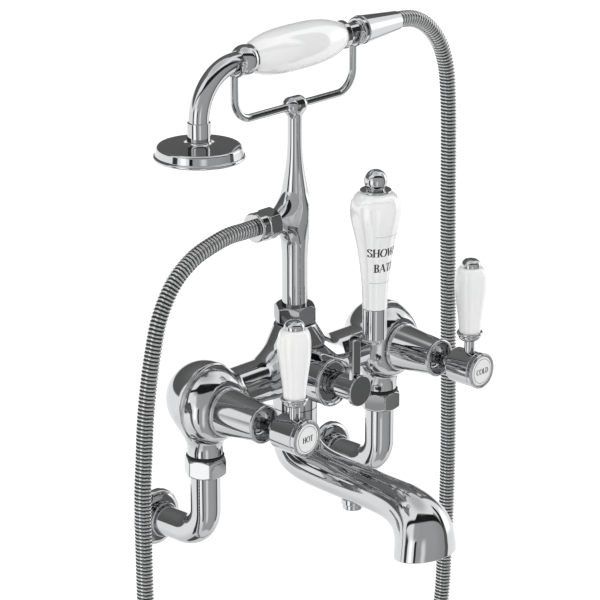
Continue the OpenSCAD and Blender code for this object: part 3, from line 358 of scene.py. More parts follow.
def grid_shell(points: Array, normals: Array, rows_meet: bool, poles: bool) -> Shell:
    """Faces over a grid of points whose columns meet, as rings do.

    Args:
        points: rows of rings, shaped (rows, columns, 3).
        normals: outward directions of the same shape.
        rows_meet: whether the last ring joins the first.
        poles: whether the first and last ring close into one point each.

    Returns:
        The surface.
    """
    rows, columns = points.shape[:2]
    index = np.arange(rows * columns).reshape(rows, columns)
    lower = index if rows_meet else index[:-1]
    upper = np.roll(index, -1, 0) if rows_meet else index[1:]
    quads = np.stack([lower, np.roll(lower, -1, 1), np.roll(upper, -1, 1), upper], -1).reshape(-1, 4)
    flat, away = points.reshape(-1, 3), normals.reshape(-1, 3)
    triangles = np.zeros((0, 3), int)
    if poles:
        tips = np.array([points[0].mean(0), points[-1].mean(0)])
        aways = np.array([normals[0].mean(0), normals[-1].mean(0)])
        first, last, count = index[1] if rows > 2 else index[0], index[-2] if rows > 2 else index[-1], len(flat)
        quads = quads[columns:-columns]
        triangles = np.vstack([
            np.stack([np.full(columns, count), first, np.roll(first, -1)], 1),
            np.stack([np.full(columns, count + 1), np.roll(last, -1), last], 1),
        ])
        keep = np.concatenate([index[1:-1].ravel(), [count, count + 1]])
        place = np.zeros(count + 2, int)
        place[keep] = np.arange(len(keep))
        flat, away = np.vstack([flat, tips])[keep], np.vstack([away, aways])[keep]
        quads, triangles = place[quads], place[triangles]
    away = away / np.maximum(np.linalg.norm(away, axis=1, keepdims=True), 1e-12)
    return Shell(flat, away, quads, triangles).outward()


def smooth_line(points: Sequence[Corner], steps: int) -> Array:
    """Points of a Catmull-Rom line, 0.5(2b + (c-a)t + (2a-5b+4c-d)t^2 + (3b-a-3c+d)t^3) between b and c.

    Args:
        points: the points it passes through.
        steps: pieces between two points.

    Returns:
        Points along the line.
    """
    p = np.array(points, float)
    last = len(p) - 1
    u = np.linspace(0, last, last * steps + 1)
    i = np.minimum(u.astype(int), last - 1)
    t = (u - i)[:, None]
    a, b, c, d = p[np.maximum(i - 1, 0)], p[i], p[i + 1], p[np.minimum(i + 2, last)]
    return 0.5 * (2 * b + (c - a) * t + (2 * a - 5 * b + 4 * c - d) * t**2 + (3 * b - a - 3 * c + d) * t**3)


# ---------------------------------------------------------------- cast shapes


def filleted(a: Array, b: Array, radius: float) -> Array:
    """Union of two distance fields with a round fillet: max(q, min(a, b)) - |(max(q-a, 0), max(q-b, 0))|.

    Args:
        a: first distances.
        b: second distances.
        radius: the fillet q.

    Returns:
        The distances to both together.
    """
    return np.maximum(radius, np.minimum(a, b)) - np.hypot(np.maximum(radius - a, 0), np.maximum(radius - b, 0))


def trimmed(a: Array, b: Array, radius: float) -> Array:
    """What two distance fields share, with its edge rounded by radius; the fillet of the outsides."""
    return -filleted(-a, -b, radius)


def drum(across: Array, along: Array, radius: float, half: float, rounding: float) -> Array:
    """Distance to a cylinder with rounded ends: |max(q, 0)| + min(max(q), 0) - rounding.

    Args:
        across: distance from its axis.
        along: distance from its middle, along the axis.
        radius: its radius.
        half: half its length.
        rounding: rounding of its rims.

    Returns:
        The distances.
    """
    x, y = across - radius + rounding, np.abs(along) - half + rounding
    return np.hypot(np.maximum(x, 0), np.maximum(y, 0)) + np.minimum(np.maximum(x, y), 0) - rounding


def cast(field: Field, low: Point, high: Point, step: float) -> Shell:
    """The surface where a distance field is zero.

    One point goes into each cell of a grid that the surface crosses, and a face across each crossed
    grid line. The points then move along the field's slope g to the surface, p - f g / |g|^2, and g is
    their outward direction. Coordinates are right, forward and height from the valve axis.

    Args:
        field: gives the distance at points of any shape (..., 3).
        low: lowest corner of the grid.
        high: highest corner of the grid.
        step: the grid's spacing.

    Returns:
        The surface in the row's frame.
    """
    axes = [np.arange(a, b + step, step) for a, b in zip(low, high)]
    inside = field(np.stack(np.meshgrid(*axes, indexing="ij"), -1)) < 0
    size = np.array(inside.shape) - 1
    corners = [inside[i : size[0] + i, j : size[1] + j, k : size[2] + k]
               for i in (0, 1) for j in (0, 1) for k in (0, 1)]
    count = np.sum(corners, axis=0)
    crossed = (count > 0) & (count < 8)
    number = np.full(crossed.shape, -1)
    number[crossed] = np.arange(crossed.sum())
    points = np.array(low) + (np.argwhere(crossed) + 0.5) * step
    faces = []
    for k in range(3):
        change = np.diff(inside.astype(np.int8), axis=k) != 0
        at = np.argwhere(change)
        others = [m for m in range(3) if m != k]
        at = at[np.all([(at[:, m] > 0) & (at[:, m] < size[m]) for m in others], axis=0)]
        ring = []
        for first, second in ((1, 1), (0, 1), (0, 0), (1, 0)):
            cell = at.copy()
            cell[:, others[0]] -= first
            cell[:, others[1]] -= second
            ring.append(number[tuple(cell.T)])
        faces.append(np.stack(ring, 1))
    quads = np.vstack(faces)
    slope = np.zeros_like(points)
    for relax in (0.5, 1.0, 1.0, 1.0):
        slope = np.stack([field(points + e) - field(points - e) for e in 0.02 * np.eye(3)], 1) / 0.04
        points = points - relax * (field(points) / np.sum(slope**2, 1))[:, None] * slope
        if relax < 1:
            total, share = np.zeros_like(points), np.zeros(len(points))
            np.add.at(total, quads.ravel(), np.repeat(points[quads].mean(1), 4, axis=0))
            np.add.at(share, quads.ravel(), 1)
            points = np.where(share[:, None] > 0, total / np.maximum(share, 1)[:, None], points)
    slope /= np.linalg.norm(slope, axis=1, keepdims=True)
    mirror = np.array([1.0, -1.0, 1.0])
    place = points * mirror + np.array([0.0, -VALVE_REACH, VALVE_HEIGHT])
    return Shell(place, slope * mirror, quads, np.zeros((0, 3), int)).outward()


def hexagon(u: Array, v: Array, w: Array, across: float, half: float, turn: float) -> Array:
    """Distance to a hexagonal nut: the largest of its side planes, end planes and the cones on its corners.

    Args:
        u: distance from its axis, in one direction.
        v: distance from its axis, square to that.
        w: distance from its middle, along the axis.
        across: width across the flats.
        half: half its length.
        turn: degrees from u to the first flat.

    Returns:
        The distances.
    """
    sides = [np.abs(u * math.cos(math.radians(a)) + v * math.sin(math.radians(a))) - across / 2
             for a in (turn, turn + 60, turn + 120)]
    flats = trimmed(trimmed(sides[0], sides[1], 0.7), sides[2], 0.7)
    away, end = np.hypot(u, v), np.abs(w) - half
    cone = 0.60 * (away - 0.475 * across) + 0.80 * end
    return trimmed(trimmed(flats, cone, 0.5), end, 0.4)


def hexagon_nut(across: float, foot: float, top: float, x: float) -> Shell:
    """A hexagonal nut on a vertical axis in the plane of the valve axes, one corner turned to the camera.

    Args:
        across: width across the flats.
        foot: height of its lower face.
        top: height of its upper face.
        x: distance of its axis to the right.

    Returns:
        The surface.
    """
    half, middle = (top - foot) / 2, (top + foot) / 2
    reach = across / 2 * 1.16 + 1
    return cast(lambda p: hexagon(p[..., 0] - x, p[..., 1], p[..., 2] - middle, across, half, -27.0),
                (x - reach, -reach, foot - 1), (x + reach, reach, top + 1), 0.42)


# ---------------------------------------------------------------- shader graphs


class Wire:
    """A shader socket that takes part in Python expressions; each operator adds a Math node."""

    def __init__(self, graph: "Graph", socket: bpy.types.NodeSocket) -> None:
        """Wraps one output socket of a graph."""
        self.graph = graph
        self.socket = socket

    def _math(self, operation: str, first: "Wire | float", second: "Wire | float") -> "Wire":
        """Adds a Math node."""
        return self.graph.node("ShaderNodeMath", {"operation": operation}, {0: first, 1: second})

    def __add__(self, other: "Wire | float") -> "Wire":
        """Sum."""
        return self._math("ADD", self, other)

    __radd__ = __add__

    def __mul__(self, other: "Wire | float") -> "Wire":
        """Product."""
        return self._math("MULTIPLY", self, other)

    __rmul__ = __mul__

    def __sub__(self, other: "Wire | float") -> "Wire":
        """Difference."""
        return self._math("SUBTRACT", self, other)

    def __rsub__(self, other: "Wire | float") -> "Wire":
        """Difference from a number."""
        return self._math("SUBTRACT", other, self)

    def __pow__(self, other: "Wire | float") -> "Wire":
        """Power."""
        return self._math("POWER", self, other)

    def at_least(self, other: "Wire | float") -> "Wire":
        """The larger of two values."""
        return self._math("MAXIMUM", self, other)

    def at_most(self, other: "Wire | float") -> "Wire":
        """The smaller of two values."""
        return self._math("MINIMUM", self, other)

    def size(self) -> "Wire":
        """The value without its sign."""
        return self._math("ABSOLUTE", self, 0.0)

    def ramp(self, low: float, high: float) -> "Wire":
        """A smooth step from 0 at low to 1 at high."""
        return self.graph.node(
            "ShaderNodeMapRange", {"interpolation_type": "SMOOTHSTEP"}, {"Value": self, "From Min": low, "From Max": high}
        )


class Graph:
    """Builds the nodes of a material or of the world."""

    def __init__(self, tree: bpy.types.NodeTree) -> None:
        """Empties a node tree and starts a graph in it."""
        self.tree = tree
        tree.nodes.clear()

    def node(self, kind: str, settings: dict | None = None, inputs: dict | None = None, output: str | int = 0) -> Wire:
        """Adds a node.

        Args:
            kind: the node's type.
            settings: its properties, set first; "stops" holds a colour ramp's positions and colours.
            inputs: values or wires for its sockets, by name or number.
            output: the output that is wanted, by name or number.

        Returns:
            That output.
        """
        made = self.tree.nodes.new(kind)
        for key, value in (settings or {}).items():
            if key == "stops":
                while len(made.color_ramp.elements) < len(value):
                    made.color_ramp.elements.new(0.5)
                for element, (position, colour) in zip(made.color_ramp.elements, value):
                    element.position, element.color = position, colour
            else:
                setattr(made, key, value)
        for key, value in (inputs or {}).items():
            if isinstance(value, Wire):
                self.tree.links.new(value.socket, made.inputs[key])
            else:
                made.inputs[key].default_value = value
        return Wire(self, made.outputs[output])

    def mixed(self, share: Wire | float, first: Wire | Sequence[float], second: Wire | Sequence[float]) -> Wire:
        """A colour between two others.

        Args:
            share: 0 for the first, 1 for the second.
            first: a colour.
            second: a colour.

        Returns:
            The mixed colour.
        """
        return self.node("ShaderNodeMix", {"data_type": "RGBA"}, {0: share, 6: first, 7: second}, 2)

    def noise(self, scale: float, detail: float = 2.0, stretch: Point | None = None) -> Wire:
        """Noise on the object's own coordinates.

        Args:
            scale: waves to the metre.
            detail: octaves.
            stretch: scale along each axis, where it isn't even.

        Returns:
            Values about 0.5.
        """
        where = self.node("ShaderNodeTexCoord", output="Object")
        if stretch:
            where = self.node("ShaderNodeMapping", None, {"Vector": where, "Scale": stretch})
        return self.node("ShaderNodeTexNoise", None, {"Vector": where, "Scale": scale, "Detail": detail})

    def bump(self, height: Wire, strength: float, distance: float) -> Wire:
        """A normal from a height map, with its strength and its depth in metres."""
        return self.node("ShaderNodeBump", None, {"Height": height, "Strength": strength, "Distance": distance})


@dataclass(frozen=True)
class Finish:
    """A finish of the mixer, with the record's slot that it stands for."""

    name: str
    slot: str

    def shader(self, graph: Graph) -> Wire:
        """The finish's surface shader."""
        raise NotImplementedError

    def material(self) -> bpy.types.Material:
        """The finish's material, made at its first use."""
        known = bpy.data.materials.get(self.name)
        if known:
            return known
        made = bpy.data.materials.new(self.name)
        made.use_nodes = True
        graph = Graph(made.node_tree)
        out = made.node_tree.nodes.new("ShaderNodeOutputMaterial")
        made.node_tree.links.new(self.shader(graph).socket, out.inputs["Surface"])
        return made

    def dress(self, piece: bpy.types.Object) -> None:
        """Puts the material on a piece in place of what it has."""
        piece.data.materials.clear()
        piece.data.materials.append(self.material())


@dataclass(frozen=True)
class PolishedChrome(Finish):
    """Mirror chrome on brass, with faint wipe marks and a very slight unevenness from hand polishing."""

    name: str = "polished_chrome"
    slot: str = "chrome"
    colour: tuple[float, float, float] = (0.665, 0.67, 0.68)
    gloss: float = 0.035
    haze: float = 0.05
    ripple: float = 0.00002

    def shader(self, graph: Graph) -> Wire:
        """Chrome whose roughness rises in broad wipe marks, over a shallow ripple."""
        wipes = graph.noise(55.0, 4.0, (1.0, 1.0, 3.0)).ramp(0.48, 0.72)
        shade = graph.noise(24.0, 2.0).ramp(0.3, 0.8)
        dimmed = tuple(0.94 * c for c in self.colour)
        return graph.node("ShaderNodeBsdfPrincipled", None, {
            "Base Color": graph.mixed(shade, (*self.colour, 1.0), (*dimmed, 1.0)),
            "Metallic": 1.0,
            "Roughness": self.gloss + self.haze * wipes,
            "Normal": graph.bump(graph.noise(70.0, 1.0), 0.6, self.ripple),
        })


@dataclass(frozen=True)
class HoseSteel(Finish):
    """Bright wound steel of the hose, rougher in its grooves than the polished castings, with shade painted into the
    grooves.
    """

    name: str = "hose_steel"
    slot: str = "chrome"

    def shader(self, graph: Graph) -> Wire:
        """Steel with fine drawing marks; the hose's groove attribute raises the roughness in the grooves and paints
        shade there as a near-black base colour.
        """
        groove = graph.node("ShaderNodeAttribute", {"attribute_name": "groove"}, None, "Fac")
        marks = graph.noise(900.0, 2.0)
        return graph.node("ShaderNodeBsdfPrincipled", None, {
            # Painted shade: the base colour falls to near black in the grooves.
            "Base Color": graph.mixed(groove, (0.86, 0.865, 0.875, 1.0), (0.02, 0.02, 0.022, 1.0)),
            "Metallic": 1.0,
            "Roughness": 0.10 + 0.08 * marks + 0.2 * groove,
        })


@dataclass(frozen=True)
class GlazedPorcelain(Finish):
    """White porcelain under a thick clear glaze."""

    name: str = "glazed_porcelain"
    slot: str = "porcelain"
    glaze: float = 1.9

    def shader(self, graph: Graph) -> Wire:
        """White body with a faint cool cloud in it, under a glaze with a slow ripple and pinhead specks."""
        cloud = graph.noise(38.0, 3.0).ramp(0.35, 0.75)
        specks = graph.noise(1900.0, 0.0).ramp(0.80, 0.86)
        body = graph.mixed(cloud, (0.93, 0.93, 0.925, 1.0), (0.90, 0.905, 0.91, 1.0))
        return graph.node("ShaderNodeBsdfPrincipled", None, {
            "Base Color": graph.mixed(0.35 * specks, body, (0.62, 0.60, 0.56, 1.0)),
            "Roughness": 0.16 + 0.08 * cloud,
            "IOR": 1.54,
            "Subsurface Weight": 0.0,
            "Coat Weight": 1.0 - 0.15 * specks,
            "Coat Roughness": 0.02,
            "Coat IOR": self.glaze,
            "Normal": graph.bump(graph.noise(85.0, 1.0), 0.5, 0.00003),
        })


@dataclass(frozen=True)
class SealRubber(Finish):
    """Black moulded rubber of the sealing rings."""

    name: str = "seal_rubber"
    slot: str = "black_rubber"

    def shader(self, graph: Graph) -> Wire:
        """Near black, with a fine matt grain."""
        grain = graph.noise(2600.0, 3.0)
        return graph.node("ShaderNodeBsdfPrincipled", None, {
            "Base Color": graph.mixed(grain, (0.008, 0.008, 0.009, 1.0), (0.03, 0.03, 0.032, 1.0)),
            "Roughness": 0.45 + 0.2 * grain,
            "Normal": graph.bump(grain, 0.3, 0.00005),
        })


@dataclass(frozen=True)
class TurnedBrass(Finish):
    """Machined brass of the valve heads and of the other pieces inside."""

    name: str = "turned_brass"
    slot: str = "brass"

    def shader(self, graph: Graph) -> Wire:
        """Brass with fine turning marks and a little tarnish."""
        tarnish = graph.noise(120.0, 4.0).ramp(0.4, 0.75)
        marks = graph.noise(700.0, 1.0, (0.2, 6.0, 6.0))
        return graph.node("ShaderNodeBsdfPrincipled", None, {
            "Base Color": graph.mixed(tarnish, (0.80, 0.60, 0.28, 1.0), (0.48, 0.33, 0.14, 1.0)),
            "Metallic": 1.0,
            "Roughness": 0.22 + 0.18 * marks + 0.1 * tarnish,
            "Normal": graph.bump(marks, 0.25, 0.00003),
        })


@dataclass(frozen=True)
class LappedCeramic(Finish):
    """Lapped discs that open and close the water."""

    name: str = "lapped_ceramic"
    slot: str = "ceramic"

    def shader(self, graph: Graph) -> Wire:
        """Ivory, dull, with a fine grain."""
        grain = graph.noise(1500.0, 3.0)
        return graph.node("ShaderNodeBsdfPrincipled", None, {
            "Base Color": graph.mixed(grain, (0.86, 0.83, 0.75, 1.0), (0.78, 0.74, 0.66, 1.0)),
            "Roughness": 0.32 + 0.15 * grain,
        })


@dataclass(frozen=True)
class PressedFibre(Finish):
    """Red pressed fibre of the flat washers."""

    name: str = "pressed_fibre"
    slot: str = "fibre"

    def shader(self, graph: Graph) -> Wire:
        """Dull red with visible fibres."""
        fibres = graph.noise(800.0, 5.0, (1.0, 4.0, 1.0))
        return graph.node("ShaderNodeBsdfPrincipled", None, {
            "Base Color": graph.mixed(fibres, (0.36, 0.07, 0.04, 1.0), (0.55, 0.18, 0.12, 1.0)),
            "Roughness": 0.75 + 0.15 * fibres,
            "Normal": graph.bump(fibres, 0.4, 0.0001),
        })


@dataclass(frozen=True)
class FiredInk(Finish):
    """Dark lettering fired into the glaze."""

    name: str = "fired_ink"
    slot: str = "porcelain"
    colour: tuple[float, float, float] = (0.035, 0.035, 0.04)

    def shader(self, graph: Graph) -> Wire:
        """Dark grey with slightly thin spots, as glossy as the glaze round it."""
        thin = graph.noise(2200.0, 2.0).ramp(0.5, 0.8)
        paler = tuple(c + 0.05 for c in self.colour)
        return graph.node("ShaderNodeBsdfPrincipled", None, {
            "Base Color": graph.mixed(thin, (*self.colour, 1.0), (*paler, 1.0)),
            "Roughness": 0.25 + 0.1 * thin,
        })


CHROME = PolishedChrome()
# Painted shade: a darker copy of the polished chrome, standing in for the riser nut's darker reflections.
SHADE_PAINTED_CHROME = PolishedChrome("deep_chrome", "chrome", (0.36, 0.365, 0.375))
STEEL = HoseSteel()
PORCELAIN = GlazedPorcelain()
LEVER_PORCELAIN = GlazedPorcelain("glazed_lever_porcelain", "porcelain", 1.45)
RUBBER = SealRubber()
BRASS = TurnedBrass()
CERAMIC = LappedCeramic()
FIBRE = PressedFibre()
INK = FiredInk()
FAINT_INK = FiredInk("faint_fired_ink", "porcelain", (0.42, 0.42, 0.43))


class Frame:
    """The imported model, which says which body each node belongs to."""

    def __init__(self) -> None:
        """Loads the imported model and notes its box."""
        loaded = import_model()
        self.nodes = loaded["nodes"]
        self.box = [list(corner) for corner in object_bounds()]
        bodies = loaded["record"]["behaviour"]["bodies"]
        self.body = {node: body for body, members in bodies.items() for node in members}

    def stand_in(self, node: str, shell: Shell, finish: Finish) -> bpy.types.Object:
        """Shows a smooth surface in place of a node.

        Args:
            node: the node that the surface stands for.
            shell: the surface.
            finish: its finish.

        Returns:
            The new piece.
        """
        piece = shell.to_object(f"{node}_surface")
        finish.dress(piece)
        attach(piece, self.body[node])
        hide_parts(node)
        LOG.info("%s: %d faces", piece.name, len(shell.quads) + len(shell.triangles))
        return piece

    def added(self, name: str, node: str, shell: Shell, finish: Finish) -> bpy.types.Object:
        """Adds a piece that moves with a node.

        Args:
            name: the piece's name.
            node: a node of the body that it rides on.
            shell: the surface.
            finish: its finish.

        Returns:
            The new piece.
        """
        piece = shell.to_object(name)
        finish.dress(piece)
        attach(piece, self.body[node])
        LOG.info("%s: %d faces", name, len(shell.quads) + len(shell.triangles))
        return piece

    def paint(self, finish: Finish, *nodes: str) -> None:
        """Puts a finish on nodes that stay as they are."""
        for node in nodes:
            finish.dress(self.nodes[node])
            LOG.info("%s: painted %s", node, finish.name)


# ---------------------------------------------------------------- sub-assemblies


@dataclass
class ShowerHose:
    """Ribbed metal hose that hangs in a loop between the riser's branch and the handset.

    Its route is given to the right and above the inlets, in the plane of the valve axes.
    """

    frame: Frame
    diameter: float = 14.0
    rib_pitch: float = 3.05
    rib_depth: float = 1.15
    sides: int = 22
    rings_per_rib: int = 8
    branch: tuple[float, float] = (-44.0, 248.0)
    handset: tuple[float, float] = (113.0, 388.0)
    branch_run: tuple[Corner, ...] = ((0, 0), (-16, 0), (-32, 0), (-50, -3), (-73, -10), (-94, -25))
    loop: tuple[Corner, ...] = (
        (-153, 200), (-161, 174), (-167, 145), (-171, 116), (-173, 86), (-175, 57), (-175, 16), (-174, -41),
        (-172, -100), (-168, -158), (-152, -216), (-116, -268), (-59, -302), (10, -314), (79, -302), (136, -268),
        (175, -216), (190, -158), (194, -100), (196, -41), (196, 20), (194, 100), (192, 173), (191, 227), (190, 285),
    )
    handset_run: tuple[Corner, ...] = ((75, -68), (71, -46), (62, -27), (48, -12), (32, -3), (16, 0), (0, 0))

    def route(self) -> Array:
        """Points of the hose's centreline."""
        first = np.array(self.branch) + np.array(self.branch_run)
        last = np.array(self.handset) + np.array(self.handset_run)
        line = smooth_line(np.vstack([first, np.array(self.loop), last]), 12)
        return np.stack([line[:, 0], np.full(len(line), -VALVE_REACH), line[:, 1]], 1)

    def build(self) -> None:
        """Winds the hose: r(s, a) = R - depth * ((1 + cos(2 pi (s / pitch + a / 2 pi))) / 2)^1.6, a spiral groove."""
        points = self.route()
        spine = Spine(points, np.array([0.0, 1.0, 0.0]))
        length = spine.length()
        turns = round(length / self.rib_pitch)
        s = np.linspace(0, length, turns * self.rings_per_rib + 1)
        centre, tangent = spine.sample(s)
        a = np.linspace(0, 2 * np.pi, self.sides, endpoint=False)
        other = np.cross(tangent, spine.side)
        round_ = np.cos(a)[None, :, None] * spine.side + np.sin(a)[None, :, None] * other[:, None]
        phase = 2 * np.pi * turns * s[:, None] / length + a
        wave = 0.5 + 0.5 * np.cos(phase)
        radius = self.diameter / 2 - self.rib_depth * wave**1.6
        slope = self.rib_depth * 1.6 * wave**0.6 * 0.5 * np.sin(phase) * 2 * np.pi * turns / length
        surface = centre[:, None] + radius[..., None] * round_
        normals = round_ - slope[..., None] * tangent[:, None]
        caps = np.array([centre[0], centre[-1]])[:, None] * np.ones((1, self.sides, 1))
        ends = np.array([-tangent[0], tangent[-1]])[:, None] * np.ones((1, self.sides, 1))
        shell = grid_shell(
            np.concatenate([caps[:1], surface, caps[1:]]), np.concatenate([ends[:1], normals, ends[1:]]), False, True)
        hose = shell.to_object("shower_hose_surface")
        # The groove mask raises the roughness and also paints shade into the grooves through the hose's material.
        groove = np.concatenate([(wave**1.3).ravel(), [0.0, 0.0]]).astype(np.float32)
        hose.data.attributes.new("groove", "FLOAT", "POINT").data.foreach_set("value", groove)
        STEEL.dress(hose)
        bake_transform(hose)
        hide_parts("shower_hose")
        LOG.info("%s: %d faces, %.0f mm long", hose.name, len(shell.quads), length)


@dataclass
class WallInlets:
    """Wall flanges, elbows, union nuts and black sealing rings below both valves."""

    frame: Frame
    pipe_r: float = 12.25
    bore_r: float = 9.5
    socket_r: float = 11.0
    socket_depth: float = 14.0
    bend: float = 24.0
    drop: float = 114.0
    tail_top: float = 52.5
    flange_r: float = 24.0
    collar_r: float = 14.5
    flange_depth: float = 13.0
    nut_af: float = 31.0
    nut_top: float = 44.1
    nut_foot: float = 60.1
    seal_r: float = 15.5
    seal_top: float = 42.5

    def flange(self, x: float) -> Shell:
        """Domed cover against the wall: an edge, a hollow sweep up to a rounded collar."""
        bore, dome = self.pipe_r + 0.1, self.flange_depth - 5
        profile = rounded([
            (bore, 0, 0.3), (self.flange_r, 0, 0.5),
            *bezier((self.flange_r, 2.5), (self.flange_r - 1, dome), (self.collar_r + 4, dome), (self.collar_r, dome), 24, 0.3),
            (self.collar_r, self.flange_depth, 1.6), (bore, self.flange_depth, 0.3)], True)
        return carried(Spine.straight((x, 0, 0), Axis.FORWARD), profile, True)

    def elbow(self, x: float) -> Shell:
        """Pipe from the union straight down, round a quarter bend and back to the wall, bored through."""
        a = np.radians(np.linspace(0, 90, 33))
        foot = VALVE_HEIGHT - self.drop
        line = np.vstack([
            [[0, VALVE_HEIGHT - self.tail_top]],
            np.stack([self.bend * (1 - np.cos(a)), foot + self.bend * (1 - np.sin(a))], 1),
            [[VALVE_REACH - 0.05, foot]]])
        dense = np.vstack([np.linspace(p, q, 8, endpoint=False) for p, q in zip(line[:-1], line[1:])] + [line[-1:]])
        points = np.stack([np.full(len(dense), x), dense[:, 0] - VALVE_REACH, dense[:, 1]], 1)
        spine = Spine(points, np.array([1.0, 0.0, 0.0]))
        end = spine.length()
        socket = end - self.socket_depth
        outer = [(self.pipe_r, s) for s in np.linspace(0.0, end, 120)]
        inner = [(self.bore_r, s) for s in np.linspace(socket, 0.0, 90)]
        corners = [(*outer[0], 0.4), *outer[1:-1], (*outer[-1], 0.4), (self.socket_r, end, 0.4),
                   (self.socket_r, socket, 0.2), (*inner[0], 0.2), *inner[1:-1], (*inner[-1], 0.4)]
        return carried(spine, rounded(corners, True), True, 96)

    def seal(self, x: float) -> Shell:
        """Soft ring that bulges a little between neck and nut."""
        foot, top = -self.nut_top, -self.seal_top
        profile = rounded([(13.4, foot, 0.2), (self.seal_r, foot, 0.7), (self.seal_r, top, 0.7), (13.4, top, 0.2)], True)
        return carried(Spine.straight((x, -VALVE_REACH, VALVE_HEIGHT), Axis.UP), profile, True)

    def build(self) -> None:
        """Builds both inlets."""
        for side in Side:
            x, word = side.value * VALVE_SPREAD, side.name.lower()
            self.frame.stand_in(f"wall_flange_{word}", self.flange(x), CHROME)
            self.frame.stand_in(f"wall_elbow_{word}", self.elbow(x), CHROME)
            self.frame.stand_in(f"union_nut_{word}", hexagon_nut(self.nut_af, -self.nut_foot, -self.nut_top, x), CHROME)
        seals = Shell.joined([self.seal(side.value * VALVE_SPREAD) for side in Side])
        self.frame.stand_in("seal_rings", seals, RUBBER)


@dataclass
class CastBody:
    """The cast body: two bulb-shaped valve chests, the crossbar, the gusset under the riser and the spout's boss."""

    frame: Frame
    chest_r: float = 31.0
    chest_rise: float = 5.0
    neck_r: float = 14.5
    neck_foot: float = -42.5
    neck_fillet: float = 14.0
    shoulder_r: float = 29.6
    shoulder_round: float = 15.0
    groove_r: float = 1.3
    groove_at: float = 4.8
    groove_lean: float = 0.08
    seat: float = 24.0
    bar_r: float = 18.0
    bar_rise: float = 3.0
    bar_fillet: float = 4.0
    gusset_half: float = 31.0
    gusset_foot_r: float = 13.5
    gusset_top_r: float = 17.25
    gusset_top: float = 43.0
    gusset_fillet: float = 9.0
    boss_r: float = 18.5
    boss_foot: float = -30.0
    boss_fillet: float = 6.0

    def field(self, p: Array) -> Array:
        """Distance to the casting: spheres, drums and a tapering slab, filleted into each other.

        Args:
            p: points to the right, forward and above the valve axis.

        Returns:
            The distances.
        """
        x, f, z = p[..., 0], p[..., 1], p[..., 2]
        u, w = np.abs(x) - VALVE_SPREAD, z - self.chest_rise
        bulb = np.sqrt(u**2 + f**2 + w**2) - self.chest_r
        neck = np.maximum(np.hypot(u, f) - self.neck_r, z)
        chest = filleted(bulb, neck, self.neck_fillet)
        shoulder = drum(np.hypot(u, z), f - self.seat / 2 + 4.5, self.shoulder_r, self.seat / 2 + 6.5, self.shoulder_round)
        chest = trimmed(filleted(chest, shoulder, 1.2), f - self.seat, 0.5)
        share = np.clip((z + 30) / 6, 0, 1)
        groove = self.groove_r - 4 * (1 - share) - np.hypot(chest, f - self.groove_at - self.groove_lean * z)
        chest = trimmed(chest, groove, 0.8)
        chest = trimmed(chest, self.neck_foot - z, 0.8)
        bar = np.maximum(np.hypot(f, z - self.bar_rise) - self.bar_r, np.abs(x) - VALVE_SPREAD)
        share = np.clip(w / (self.gusset_top - self.chest_rise), 0, 1)
        off = np.maximum(np.abs(x) - self.gusset_half * (1 - share), 0)
        radius = self.gusset_foot_r + (self.gusset_top_r - self.gusset_foot_r) * share
        slab = 0.82 * (np.sqrt(off**2 + f**2 + np.minimum(w, 0) ** 2) - radius)
        slab = trimmed(slab, z - self.gusset_top, 1.2)
        boss = np.sqrt(x**2 + f**2 + np.maximum(w, 0) ** 2) - self.boss_r
        boss = trimmed(boss, self.boss_foot - z, 0.2)
        middle = filleted(filleted(bar, slab, self.gusset_fillet), boss, self.boss_fillet)
        return filleted(chest, middle, self.bar_fillet)

    def build(self) -> None:
        """Casts the body."""
        shell = cast(self.field, (-138, -33, -44), (138, 26, 45), 1.0)
        self.frame.stand_in("mixer_body", shell, CHROME)


